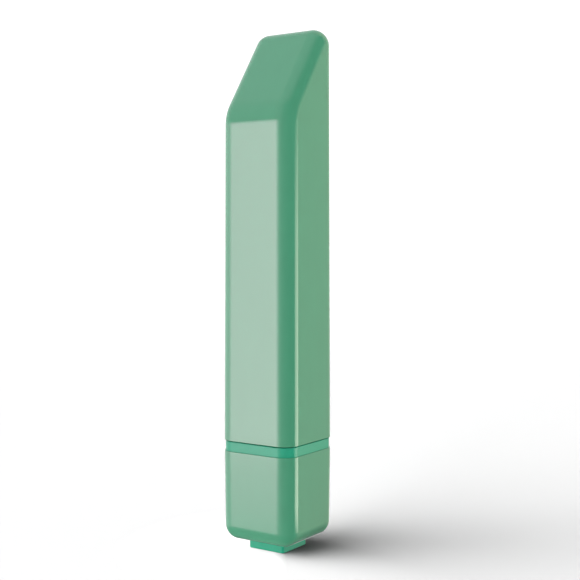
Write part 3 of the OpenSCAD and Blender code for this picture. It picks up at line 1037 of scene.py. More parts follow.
class Winding(Pattern):
    """Coils of round wire, each wound in even turns about an arm that stands out from the axis."""

    arms: int = 3
    bend_steps: int = 4
    wire_sides: int = 8

    def __init__(self) -> None:
        """Builds the tree: one turn, a row of turns along the arm, and the arms."""
        sizes = dict.fromkeys(("Width", "Height", "Corner", "Wire radius"), "Float")
        super().__init__("winding", sizes | {"Turns": "Int", "First": "Vector", "Last": "Vector"})
        node = self.graph.node
        sides = {"Width": self["Width"], "Height": self["Height"]}
        loop = node("GeometryNodeCurvePrimitiveQuadrilateral", None, sides)
        bends = {"Curve": loop, "Count": self.bend_steps, "Radius": self["Corner"], "Limit Radius": True}
        loop = node("GeometryNodeFilletCurve", {"mode": "POLY"}, bends)
        circle = {"Resolution": self.wire_sides, "Radius": self["Wire radius"]}
        wire = node("GeometryNodeCurvePrimitiveCircle", None, circle)
        turn = node("GeometryNodeCurveToMesh", None, {"Curve": loop, "Profile Curve": wire})
        upright = node("FunctionNodeEulerToRotation", None, {0: (math.pi / 2, 0.0, math.pi / 2)})
        ends = {"Count": self["Turns"], "Start Location": self["First"], "Offset": self["Last"]}
        line = node("GeometryNodeMeshLine", {"mode": "END_POINTS"}, ends)
        turns = {"Points": line, "Instance": turn, "Rotation": upright}
        arm = node("GeometryNodeInstanceOnPoints", None, turns)
        angle = node("GeometryNodeInputIndex") * (2 * math.pi / self.arms)
        about = node("ShaderNodeCombineXYZ", None, {"Z": angle})
        spin = node("FunctionNodeEulerToRotation", None, {0: about})
        hub = node("GeometryNodeMeshLine", None, {"Count": self.arms, "Offset": (0.0, 0.0, 0.0)})
        arms = {"Points": hub, "Instance": arm, "Rotation": spin}
        self.close(node("GeometryNodeInstanceOnPoints", None, arms))


REPEAT, COIL, WINDING = Repeat(), Coil(), Winding()


def metres(*place: float) -> tuple[float, ...]:
    """A place or a list of sizes in metres, for a pattern's inputs."""
    return tuple(value * MM for value in place)


def on_diagonal(at: float, z: float) -> list[Vector]:
    """The two places on the diagonal where the base has its screws."""
    return [Vector((at, -at, z)), Vector((-at, at, z))]


def rods(radius: float, low: float, high: float, places: Sequence[Sequence[float]]) -> Solid:
    """Makes upright rods of one size, to join on or to cut holes with.

    Args:
        radius: Their radius.
        low: The height of their lower ends.
        high: The height of their upper ends.
        places: Where they stand.

    Returns:
        The rods as one solid.
    """
    made = Solid(COARSE)
    for x, y, *_ in places:
        made.stack([Stop(radius, low), Stop(radius, high)], at=(x, y, 0))
    return made


@dataclass(frozen=True)
class Screw:
    """A small pan-head screw, drawn with its head up and the underside of the head at nought.

    root and point are shares of the shank's radius, crown and cross of the head's radius, and dome and
    cross_depth of the head's height.
    """

    head_r: float
    head_h: float
    shank_r: float
    shank_l: float
    pitch: float = 0.5
    root: float = 0.8
    point: float = 0.2
    crown: float = 0.4
    cross: tuple[float, float] = (0.6, 0.14)
    dome: float = 0.5
    cross_depth: float = 0.5
    under_edge: float = 0.06

    def mesh(self) -> bpy.types.Mesh:
        """Makes one screw, with its thread as close ridges and a cross in its head.

        Returns:
            The mesh.
        """
        low, root_r = -self.shank_l, self.root * self.shank_r
        profile = [Stop(self.point * self.shank_r, low), Stop(root_r, low + self.shank_r)]
        turns = int((self.shank_l - self.shank_r) / self.pitch) - 1
        for turn in range(turns):
            z = low + self.shank_r + turn * self.pitch
            profile += [Stop(self.shank_r, z + self.pitch / 2), Stop(root_r, z + self.pitch)]
        profile += [
            Stop(root_r, 0),
            Stop(self.head_r, 0, self.under_edge),
            Stop(self.head_r, self.head_h, self.dome * self.head_h),
            Stop(self.crown * self.head_r, self.head_h),
        ]
        long, short = (share * self.head_r for share in self.cross)
        deep = self.head_h * (1 - self.cross_depth)
        made = Solid(COARSE).stack(profile)
        for x, y in ((long, short), (short, long)):
            made.cut(Solid().block((-x, -y, deep), (x, y, self.head_h + PAST)))
        return made.mesh("screw")

    def row(self, name: str, body: str, node: str, turn: float, first: Sequence[float], last: Sequence[float],
            row_step: float = 0.0, rows: int = 1) -> None:
        """Sets screws at two places, and again in rows above them.

        Args:
            name: The piece's name.
            body: The body that they ride on.
            node: The node that they stand for.
            turn: How far each is turned about X, in radians.
            first: Where the first stands.
            last: Where the second stands.
            row_step: How far up the next row is.
            rows: How many rows there are.
        """
        mesh = REPEAT.mesh(
            self.mesh(), SCREW_STEEL, Turn=(turn, 0.0, 0.0), First=metres(*first), Last=metres(*last),
            Count=2, Row_step=metres(0, 0, row_step), Rows=rows,
        )
        placed(name, mesh, SCREW_STEEL, body, "screw_steel", node)


@dataclass
class Shell:
    """The square body with its slanted closed tip and the broad edge in front of it."""

    corner_r: float = 3.7
    tip_r: float = 3.8
    front_r: float = 9.4
    draft: float = 0.25
    front_h: float = 76.9
    slant: float = math.radians(55)
    rim_h: float = 0.5
    rim_edge: float = 0.06
    mouth_h: float = 2.0
    bay_half: float = 8.3
    bay_r: float = 1.6
    bay_rise: float = 13.0
    tip_wall: float = 2.2
    side_rows: int = 10
    front_rows: int = 12
    tip_rows: int = 26
    hold: float = 0.01

    def __post_init__(self) -> None:
        """Reads the outer size from the frame."""
        low, high = box("body_shell")
        self.half = high.x
        self.mouth_z = low.z
        self.front_edge_z = low.z + self.front_h
        self.tip_half = self.half - self.draft
        self.normal = Vector((0, -math.sin(self.slant), math.cos(self.slant)))

    def slope_z(self, y: float, depth: float = 0.0) -> float:
        """Height of the plane that lies a depth under the slanted face."""
        rise = (y + self.tip_half) * math.sin(self.slant) - depth
        return self.front_edge_z + rise / math.cos(self.slant)

    def tip_ring(self, turn: float, share: float) -> Ring:
        """A ring over the rounded edges of the tip.

        Args:
            turn: How far the front has turned over its broad edge, in radians.
            share: How far the ring has gone on from there to the slanted face, from nought to one.

        Returns:
            The ring.
        """
        top = self.tip_half - self.tip_r
        front_y = self.front_r - self.tip_half
        front = Vector((0, -math.cos(turn), math.sin(turn)))
        middle = Vector((0, front_y, self.slope_z(front_y, self.front_r)))
        middle += (self.front_r - self.corner_r) * front

        def corner(k: int, angle: float) -> Vector:
            """Places one point: the front corners turn with the broad edge, and the rear ones are balls.

            Args:
                k: The corner.
                angle: The point's angle from +X.

            Returns:
                The point.
            """
            (side_x, side_y), x, y = SIDES[k], math.cos(angle), math.sin(angle)
            if side_y < 0:
                radius, out = self.corner_r, Vector((x, 0, 0)) - y * front
                centre = middle + Vector((side_x * (self.tip_half - radius), 0, 0))
            else:
                radius, out = self.tip_r, Vector((x, y, 0))
                centre = Vector((side_x * top, top, self.slope_z(top, radius)))
            return centre + radius * arc(out, self.normal, share)

        return around(corner)

    def bay_top(self) -> Ring:
        """Ends the bay under the slanted wall, and no higher than the motor's room needs.

        Returns:
            The bay's top ring.
        """
        ceiling = self.front_edge_z + self.bay_rise
        ring = Stop(self.bay_half, 0, core=self.bay_half - self.bay_r).ring()
        return [Vector((p.x, p.y, min(ceiling, self.slope_z(p.y, self.tip_wall)))) for p in ring]

    def build(self) -> None:
        """Builds the shell as one skin: down the bay, round the mouth, up the sides and over the tip."""
        bay_core = self.bay_half - self.bay_r
        core = self.half - self.corner_r
        mouth = [
            Stop(self.bay_half, self.mouth_z + self.mouth_h, core=bay_core),
            Stop(self.bay_half, self.mouth_z, self.rim_edge, bay_core),
            Stop(self.half, self.mouth_z, self.rim_edge, core),
            Stop(self.half, self.mouth_z + self.rim_h, core=core),
        ]
        rings = [self.bay_top()] + [stop.ring() for stop in rounded(mouth, False)]
        lean = math.pi / 2 - self.slant
        foot, shoulder = rings[-1], self.tip_ring(0, 0)
        shares = [row / self.side_rows for row in range(1, self.side_rows)] + [1 - self.hold]
        rings += [[a.lerp(b, share) for a, b in zip(foot, shoulder)] for share in shares]
        rings += [self.tip_ring(lean * row / self.front_rows, 0) for row in range(self.front_rows + 1)]
        rings += [self.tip_ring(lean, (row + 1) / self.tip_rows) for row in range(self.tip_rows)]
        middle = sum(rings[-1], Vector()) / len(rings[-1])
        rings.append([p.lerp(middle, 2 * self.hold) for p in rings[-1]])
        solid = Solid()
        made = solid.loft(rings)
        solid.cap(made[0])
        solid.cap(made[-1])
        solid.piece("body_shell_skin", MINT, "body", "mint_plastic", "body_shell")


class Side(Enum):
    """Which way a piece faces, as its node's name ends."""

    FRONT = "front"
    REAR = "rear"


@dataclass
class Base:
    """The short cup at the foot, and the core that plugs into the body."""

    corner_r: float = 3.7
    draft: float = 0.15
    wall: float = 1.6
    floor: float = 2.0
    inner_r: float = 1.7
    hole_half: float = 5.05
    hole_r: float = 0.7
    post_r: float = 1.5
    post_in: float = 1.4
    pilot_r: float = 0.6
    rim_h: float = 0.5
    rim_edge: float = 0.08
    edge: float = 0.15
    flange_r: float = 3.45
    flange_h: float = 2.3
    skirt_half: float = 8.4
    skirt_r: float = 1.6
    spigot_half: float = 8.15
    spigot_r: float = 1.45
    spigot_h: float = 8.0
    bore_r: float = 5.5
    groove_rise: float = 1.2
    groove_h: float = 2.4
    groove_half: float = 7.15
    groove_r: float = 0.6
    notch_rise: float = 4.2
    notch_half: float = 1.9
    slot_half: float = 1.5
    slot_y: tuple[float, float] = (4.0, 6.45)
    board_pilot_at: float = 6.0
    board_pilot_r: float = 0.65
    board_pilot_l: float = 6.0
    seal_gap: float = 0.03
    seal_band: float = 0.4
    seal_lip_h: float = 0.6
    seal_lip_in: float = 0.2
    seal_lip_round: float = 0.4
    leaf_t: float = 0.3
    leaf_bend: float = 0.45
    leg_out: float = 1.3
    leg_drop: float = 3.0
    pad_h: float = 1.6
    spring_turns: float = 5.0
    spring_r: tuple[float, float] = (3.7, 2.6)
    wire_r: float = 0.3

    def build(self) -> None:
        """Builds every piece of the base."""
        self.cup()
        self.core()
        self.seal()
        for side in Side:
            self.finger(side)
        self.spring()

    def cup(self) -> None:
        """The cup as one skin, in through the button's hole and up the inside, and then its posts."""
        low, high = box("base_cup")
        half, foot = high.x, high.x - self.draft
        inner, core = half - self.wall, half - self.corner_r
        hole_core, inner_core = self.hole_half - self.hole_r, inner - self.inner_r
        floor_z = low.z + self.floor
        profile = [
            Stop(half, high.z, self.rim_edge, core),
            Stop(half, high.z - self.rim_h, core=core),
            Stop(foot, low.z, self.corner_r, foot - self.corner_r),
            Stop(self.hole_half, low.z, self.edge, hole_core),
            Stop(self.hole_half, floor_z, self.edge, hole_core),
            Stop(inner, floor_z, core=inner_core),
            Stop(inner, high.z, self.edge, inner_core),
        ]
        post_at, post_top = inner - self.post_in, box("button_guide")[0].z
        places = [(x * post_at, y * post_at) for x, y in SIDES]
        posts = rods(self.post_r, floor_z - self.edge, post_top, places)
        pilots = rods(self.pilot_r, floor_z, post_top + PAST, on_diagonal(post_at, 0))
        cup = Solid().stack(profile, closed=True).join(posts).cut(pilots)
        cup.piece("base_cup_skin", MINT, "base", "mint_plastic", "base_cup")

    def core(self) -> None:
        """The ring that shows, with its skirt and its spigot, and the ways cut for the leaves."""
        low, high = box("base_core")
        spigot_z = high.z - self.spigot_h
        groove_z = spigot_z + self.groove_rise
        skirt_core, spigot_core = self.skirt_half - self.skirt_r, self.spigot_half - self.spigot_r
        flange_core, groove_core = high.x - self.flange_r, self.groove_half - self.groove_r
        profile = [
            Stop(self.bore_r, low.z, self.edge),
            Stop(self.skirt_half, low.z, 2 * self.edge, skirt_core),
            Stop(self.skirt_half, spigot_z - self.flange_h, core=skirt_core),
            Stop(high.x, spigot_z - self.flange_h, core=flange_core),
            Stop(high.x, spigot_z, self.edge, flange_core),
            Stop(self.spigot_half, spigot_z, core=spigot_core),
            Stop(self.spigot_half, groove_z, self.edge, spigot_core),
            Stop(self.groove_half, groove_z, core=groove_core),
            Stop(self.groove_half, groove_z + self.groove_h, core=groove_core),
            Stop(self.spigot_half, groove_z + self.groove_h, self.edge, spigot_core),
            Stop(self.spigot_half, high.z, 2 * self.edge, spigot_core),
            Stop(self.bore_r, high.z, self.edge),
        ]
        under, over = low.z - PAST, high.z + PAST
        pilots = on_diagonal(self.board_pilot_at, 0)
        slots = rods(self.board_pilot_r, under, low.z + self.board_pilot_l, pilots)
        notches = Solid()
        notch_z = spigot_z + self.notch_rise
        for way in (-1, 1):
            near, far = sorted(way * y for y in self.slot_y)
            slots.block((-self.slot_half, near, under), (self.slot_half, far, over))
            near, far = sorted((way * self.slot_y[0], way * high.x))
            notches.block((-self.notch_half, near, notch_z), (self.notch_half, far, over))
        core = Solid().stack(profile, closed=True).cut(slots).cut(notches)
        core.piece("base_core_moulding", GREEN, "base", "green_plastic", "base_core")

    def seal(self) -> None:
        """The soft ring in the groove, with two round lips."""
        low, high = box("seal_ring")
        inner = self.groove_half + self.seal_gap
        inner_core, core = inner - self.groove_r, self.spigot_half - self.spigot_r
        band = high.x - self.seal_band
        soft = self.seal_lip_round * self.seal_lip_h
        profile = [
            Stop(inner, high.z, core=inner_core),
            Stop(inner, low.z, core=inner_core),
            Stop(band, low.z, core=core),
        ]
        for z in (low.z + self.seal_lip_in, high.z - self.seal_lip_in - self.seal_lip_h):
            profile += [
                Stop(band, z, core=core),
                Stop(high.x, z, soft, core),
                Stop(high.x, z + self.seal_lip_h, soft, core),
                Stop(band, z + self.seal_lip_h, core=core),
            ]
        profile.append(Stop(band, high.z, core=core))
        seal = Solid().stack(profile, closed=True)
        seal.piece("seal_ring_soft", RUBBER, "base", "soft_rubber", "seal_ring")

    def finger(self, side: Side) -> None:
        """A leaf that rises from the board and bends out to its contact pad.

        Args:
            side: Which of the two it is.
        """
        node = "contact_finger_" + side.value
        low, high = box(node)
        inner, outer = sorted((abs(low.y), abs(high.y)))
        mid = self.leaf_t / 2
        leg, pad = inner + self.leg_out - mid, outer - mid
        bends = [
            Stop(inner, low.z + mid),
            Stop(leg, low.z + mid, self.leaf_bend),
            Stop(leg, high.z - self.leg_drop, self.leaf_bend),
            Stop(pad, high.z - self.pad_h, self.leaf_bend),
            Stop(pad, high.z),
        ]
        leaf = Solid().leaf(bends, high.x, self.leaf_t, side is Side.FRONT)
        leaf.piece(node + "_leaf", BRASS, "base", "contact_brass", node)

    def spring(self) -> None:
        """The tapering spring on the board, under the cell."""
        low, high = box("battery_spring")
        rise = high.z - low.z - 2 * self.wire_r
        wide, narrow, wire, lift = metres(*self.spring_r, self.wire_r, low.z + self.wire_r)
        mesh = COIL.mesh(
            bpy.data.meshes.new("spring"), SPRING_STEEL, Turns=self.spring_turns, Lower_radius=wide,
            Upper_radius=narrow, Rise=rise * MM, Wire_radius=wire, Lift=(0.0, 0.0, lift),
        )
        placed("battery_spring_coil", mesh, SPRING_STEEL, "base", "spring_steel", "battery_spring")


@dataclass
class Button:
    """The square button with its seal, and the plate in the base that guides it."""

    cap_half: float = 4.95
    cap_r: float = 0.6
    cap_edge: float = 0.3
    lip_r: float = 1.0
    lip_z: tuple[float, float] = (4.45, 5.9)
    stem_r: float = 3.2
    groove_r: float = 2.4
    groove_h: float = 1.2
    guide_r: float = 1.6
    guide_bore_r: float = 3.5
    guide_hole_r: float = 0.6
    edge: float = 0.15
    ring_sides: int = 16
    guide_screw: Screw = Screw(1.0, 0.8, 0.55, 5.1)

    def build(self) -> None:
        """Builds the button, its seal, its guide and the guide's screws."""
        self.cap()
        self.seal()
        self.guide()

    def cap(self) -> None:
        """The button as one moulding: cap, lip and stem with the seal's groove."""
        low, high = box("push_button")
        groove_z = (box("button_o_ring")[0].z + box("button_o_ring")[1].z - self.groove_h) / 2
        core, lip_core = self.cap_half - self.cap_r, high.x - self.lip_r
        profile = [
            Stop(core, low.z, core=core - self.cap_r),
            Stop(self.cap_half, low.z, self.cap_edge, core),
            Stop(self.cap_half, self.lip_z[0], core=core),
            Stop(high.x, self.lip_z[0], self.edge, lip_core),
            Stop(high.x, self.lip_z[1], self.edge, lip_core),
            Stop(self.stem_r, self.lip_z[1]),
            Stop(self.stem_r, groove_z, self.edge),
            Stop(self.groove_r, groove_z),
            Stop(self.groove_r, groove_z + self.groove_h),
            Stop(self.stem_r, groove_z + self.groove_h, self.edge),
            Stop(self.stem_r, high.z, 2 * self.edge),
            Stop(self.groove_r, high.z),
        ]
        button = Solid().stack(profile)
        # The button wears the ring's green painted brighter, as painted light.
        button.piece("push_button_moulding", BUTTON_GREEN_PAINTED_LIT, "button", "green_plastic", "push_button")

    def seal(self) -> None:
        """The round seal in the stem's groove."""
        low, high = box("button_o_ring")
        cord = (high.z - low.z) / 2
        turns = [2 * math.pi * k / self.ring_sides for k in range(self.ring_sides)]
        profile = [Stop(high.x - cord + cord * math.cos(t), low.z + cord + cord * math.sin(t)) for t in turns]
        ring = Solid(COARSE).stack(profile, closed=True)
        ring.piece("button_seal_ring", RUBBER, "button", "soft_rubber", "button_o_ring")

    def guide(self) -> None:
        """The plate over the button's lip, and the two screws that hold it."""
        low, high = box("button_guide")
        core = high.x - self.guide_r
        profile = [
            Stop(self.guide_bore_r, low.z, self.edge),
            Stop(high.x, low.z, self.edge, core),
            Stop(high.x, high.z, self.edge, core),
            Stop(self.guide_bore_r, high.z, self.edge),
        ]
        at = box("guide_screws")[1].x - self.guide_screw.head_r
        first, last = on_diagonal(at, high.z)
        holes = rods(self.guide_hole_r, low.z - PAST, high.z + PAST, (first, last))
        plate = Solid().stack(profile, closed=True).cut(holes)
        plate.piece("button_guide_plate", TRAY, "base", "tray_plastic", "button_guide")
        self.guide_screw.row("guide_screw_pair", "base", "guide_screws", 0.0, first, last)


@dataclass
class Switch:
    """The circuit board with its small parts, and the push switch under it."""

    board_r: float = 1.2
    hole_r: float = 0.8
    edge: float = 0.08
    chip_edge: float = 0.12
    pins: int = 4
    pin_pitch: float = 1.27
    pin_half: float = 0.2
    pin_t: float = 0.14
    pin_l: float = 0.4
    pin_drop: float = 0.7
    capacitor: tuple[float, float, float] = (2.9, 1.3, 1.0)
    capacitor_in: float = 0.1
    resistor: tuple[float, float, float] = (1.2, 0.8, 0.6)
    resistor_step: tuple[float, float] = (1.8, 1.6)
    resistors: tuple[int, int] = (2, 2)
    end_share: float = 0.22
    end_skin: float = 0.04
    cavity_r: float = 2.35
    cavity_h: float = 1.8
    cover_hole_r: float = 1.7
    plunger_r: float = 1.6
    collar_h: float = 0.8
    board_screw: Screw = Screw(1.3, 0.8, 0.6, 5.5)

    def build(self) -> None:
        """Builds the board, what is soldered to it, and the switch."""
        self.board()
        self.chip()
        self.passives()
        self.switch()

    def board(self) -> None:
        """The board and its two screws."""
        low, high = box("switch_board")
        core = high.x - self.board_r
        profile = [
            Stop(core, low.z, core=core - self.board_r),
            Stop(high.x, low.z, self.edge, core),
            Stop(high.x, high.z, self.edge, core),
            Stop(core, high.z, core=core - self.board_r),
        ]
        first, last = on_diagonal(box("board_screws")[1].x - self.board_screw.head_r, low.z)
        holes = rods(self.hole_r, low.z - PAST, high.z + PAST, (first, last))
        board = Solid().stack(profile).cut(holes)
        board.piece("switch_board_panel", BOARD, "base", "board_green", "switch_board")
        self.board_screw.row("board_screw_pair", "base", "board_screws", math.pi, first, last)

    def chip(self) -> None:
        """The controller's body, with its rows of bent pins."""
        low, high = box("controller_chip")
        near, far = low.y + self.pin_l, high.y - self.pin_l
        body = Solid().block((low.x, near, low.z), (high.x, far, high.z - self.edge), self.chip_edge)
        body.piece("controller_body", CHIP, "base", "chip_black", "controller_chip")
        reach, middle, mid = (high.y - low.y) / 2, (high.y + low.y) / 2, self.pin_t / 2
        bends = [
            Stop(reach - self.pin_l - self.pin_t, high.z - self.pin_drop + mid),
            Stop(reach - self.pin_l / 2, high.z - self.pin_drop + mid, self.pin_t),
            Stop(reach - self.pin_l / 3, high.z - mid, self.pin_t),
            Stop(reach, high.z - mid),
        ]
        pins = Solid()
        for turned in (False, True):
            pins.leaf(bends, self.pin_half, self.pin_t, turned)
        end = (self.pins - 1) / 2 * self.pin_pitch
        first, last = metres(-end, middle, 0), metres(end, middle, 0)
        mesh = REPEAT.mesh(pins.mesh("pin"), SOLDER, First=first, Last=last, Count=self.pins, Rows=1)
        placed("controller_pins", mesh, SOLDER, "base", "screw_steel")

    def passives(self) -> None:
        """One larger capacitor and four resistors, each with bright ends."""
        low, high = box("board_passives")
        bodies, ends = Solid(), Solid()
        corner = Vector((low.x, low.y + self.capacitor_in, high.z))
        self.two_ended(bodies, ends, corner, self.capacitor)
        bodies.piece("capacitor_body", CERAMIC, "base", "passive_tan", "board_passives")
        ends.piece("capacitor_ends", SOLDER, "base", "screw_steel")
        bodies, ends = Solid(), Solid()
        self.two_ended(bodies, ends, Vector((0, 0, 0)), self.resistor)
        (step_x, step_y), (count, rows) = self.resistor_step, self.resistors
        last = high.x - self.resistor[0]
        first = last - step_x * (count - 1)
        looks = (
            ("resistor_bodies", bodies, CHIP, "chip_black"),
            ("resistor_ends", ends, SOLDER, "screw_steel"),
        )
        for name, solid, finish, slot in looks:
            mesh = REPEAT.mesh(
                solid.mesh(name), finish, First=metres(first, low.y, high.z),
                Last=metres(last, low.y, high.z), Count=count, Row_step=metres(0, step_y, 0), Rows=rows,
            )
            placed(name, mesh, finish, "base", slot)

    def two_ended(self, body: Solid, ends: Solid, corner: Vector, size: Sequence[float]) -> None:
        """Adds a small block with a bright cap on each end, hanging under the board.

        Args:
            body: The solid that takes the block.
            ends: The solid that takes the two caps.
            corner: The lowest x and y of the block, at the board's face.
            size: Its length, width and height.
        """
        length, width, height = size
        cap, skin = self.end_share * length, self.end_skin
        low = corner + Vector((cap, skin, skin - height))
        body.block(low, corner + Vector((length - cap, width - skin, -skin)), skin)
        for x in (0, length - cap):
            ends.block(corner + Vector((x, 0, -height)), corner + Vector((x + cap, width, 0)), skin)

    def switch(self) -> None:
        """The switch's body with its cavity, the steel cover, and the plunger that the button pushes."""
        low, high = box("switch_body")
        ends = (low.z - PAST, low.z + self.cavity_h)
        cavity = Solid().stack([Stop(self.cavity_r, z) for z in ends])
        body = Solid().block(low, high, self.chip_edge).cut(cavity)
        body.piece("switch_housing", CHIP, "base", "chip_black", "switch_body")
        low, high = box("switch_cover")
        ends = (low.z - PAST, high.z + PAST)
        hole = Solid().stack([Stop(self.cover_hole_r, z) for z in ends])
        cover = Solid().block(low, high, self.edge).cut(hole)
        cover.piece("switch_cover_plate", MOTOR_STEEL, "base", "motor_steel", "switch_cover")
        low, high = box("switch_plunger")
        collar_z = high.z - self.collar_h
        profile = [
            Stop(self.plunger_r / 2, low.z),
            Stop(self.plunger_r, low.z, 2 * self.edge),
            Stop(self.plunger_r, collar_z),
            Stop(high.x, collar_z, self.edge),
            Stop(high.x, high.z, self.edge),
            Stop(self.plunger_r / 2, high.z),
        ]
        plunger = Solid().stack(profile)
        plunger.piece("switch_plunger_pin", PLUNGER, "button", "plunger_plastic", "switch_plunger")


@dataclass
class Cell:
    """A plain cell: steel can, film, card washer and cap."""

    end_r: float = 3.4
    end_dip: float = 0.15
    shoulder: float = 0.35
    film_t: float = 0.15
    film_edge: float = 0.06
    washer_r: float = 2.2
    cap_edge: float = 0.3

    def build(self) -> None:
        """Builds the can, the film, the washer and the cap."""
        low, high = box("cell_can")
        profile = [
            Stop(self.end_r - self.end_dip, low.z + self.end_dip),
            Stop(self.end_r, low.z),
            Stop(high.x, low.z, self.shoulder),
            Stop(high.x, high.z, self.shoulder),
            Stop(self.end_r, high.z),
        ]
        Solid().stack(profile).piece("cell_can_steel", CELL_STEEL, "cell", "cell_metal", "cell_can")
        low, high = box("cell_jacket")
        inner = high.x - self.film_t
        profile = [
            Stop(inner, low.z),
            Stop(high.x, low.z, self.film_edge),
            Stop(high.x, high.z, self.film_edge),
            Stop(inner, high.z),
        ]
        Solid().stack(profile, closed=True).piece("cell_film", FILM, "cell", "cell_jacket", "cell_jacket")
        low, high = box("cell_insulator")
        corners = ((self.washer_r, low.z), (high.x, low.z), (high.x, high.z), (self.washer_r, high.z))
        washer = Solid().stack([Stop(r, z) for r, z in corners], closed=True)
        washer.piece("cell_washer", CARD, "cell", "cell_insulator", "cell_insulator")
        low, high = box("cell_positive_cap")
        profile = [Stop(high.x, low.z), Stop(high.x, high.z, self.cap_edge), Stop(high.x / 2, high.z)]
        Solid().stack(profile).piece("cell_cap", CAP_STEEL, "cell", "cap_metal", "cell_positive_cap")


@dataclass
class Chassis:
    """The tray in two halves that holds the cell and the motor, with its contacts and leads."""

    edge: float = 0.2
    strip_t: float = 0.3
    strip_edge: float = 0.06
    strip_bend: float = 0.5
    lead_r: float = 0.4
    lead_steps: int = 24
    lead_start_x: float = 1.2
    lead_rise: tuple[float, float] = (2.5, 1.4)
    lead_bend_x: tuple[float, float] = (1.5, 1.6)
    lead_end_x: float = 3.25
    tab_y: float = 4.6
    blob_r: float = 0.65
    blob: tuple[tuple[float, float], ...] = ((0.3, -0.9), (0.8, -0.5), (1.0, 0.0), (0.8, 0.5), (0.3, 0.9))
    screw: Screw = Screw(1.05, 0.9, 0.7, 11.0)

    def build(self) -> None:
        """Builds the halves, their screws, the contacts and the leads."""
        for side in Side:
            node = "chassis_" + side.value
            tray = Solid.of_node(node).soften(self.edge)
            tray.piece(node + "_tray", TRAY, "body", "tray_plastic", node)
        self.screws()
        self.strips()
        self.leads()

    def screws(self) -> None:
        """Four screws from the front, in two rows."""
        low, high = box("chassis_screws")
        x, y, z = high.x - self.screw.head_r, low.y + self.screw.head_h, low.z + self.screw.head_r
        step = high.z - low.z - 2 * self.screw.head_r
        first, last = (-x, y, z), (x, y, z)
        self.screw.row("chassis_screw_set", "body", "chassis_screws", math.pi / 2, first, last, step, 2)

    def strips(self) -> None:
        """The plate over the cell's cap with its strip, and the return strip."""
        plate = Solid.of_node("positive_contact").soften(self.strip_edge)
        plate.piece("positive_contact_plate", BRASS, "body", "contact_brass", "positive_contact")
        low, high = box("return_strip")
        mid = self.strip_t / 2
        out, up = high.y - mid, high.z - mid
        bends = [Stop(low.y, up), Stop(out, up, self.strip_bend), Stop(out, low.z)]
        strip = Solid().leaf(bends, high.x, self.strip_t, False)
        strip.piece("return_strip_leaf", BRASS, "body", "contact_brass", "return_strip")

    def leads(self) -> None:
        """The two short leads to the motor, and the solder at their ends."""
        plate_z, tab_z = box("positive_contact")[1].z, box("return_strip")[1].z
        end_z = box("positive_lead")[1].z - self.lead_r
        starts = ((self.lead_start_x, 0, plate_z), (0, self.tab_y, tab_z))
        looks = (("positive_lead", RED_SHEATH, "red_wire"), ("return_lead", BLACK_SHEATH, "black_wire"))
        shape = [Stop(r * self.blob_r, z * self.blob_r) for r, z in self.blob]
        blobs = Solid(COARSE)
        for lead, way in enumerate((1, -1)):
            (node, sheath, slot), (x, y, z) = looks[lead], starts[lead]
            places = (
                (x, y, z),
                (x, y, z + self.lead_rise[lead]),
                (way * self.lead_bend_x[lead], 0, end_z),
                (way * self.lead_end_x, 0, end_z),
            )
            route = [Vector(place) for place in places]
            path = [self.along(route, k / self.lead_steps) for k in range(self.lead_steps + 1)]
            Solid().tube(path, self.lead_r).piece(node + "_sheath", sheath, "body", slot, node)
            for place in (route[0], route[-1]):
                blobs.stack(shape, at=place)
        blobs.piece("lead_solder", SOLDER, "body", "contact_brass")

    @staticmethod
    def along(route: Sequence[Vector], share: float) -> Vector:
        """Finds a point of a lead's bend.

        Args:
            route: The four points that steer the bend.
            share: How far along it the point is, from nought to one.

        Returns:
            The point.
        """
        rest = 1 - share
        weights = (rest**3, 3 * share * rest**2, 3 * share**2 * rest, share**3)
        return sum((weight * point for weight, point in zip(weights, route)), Vector())


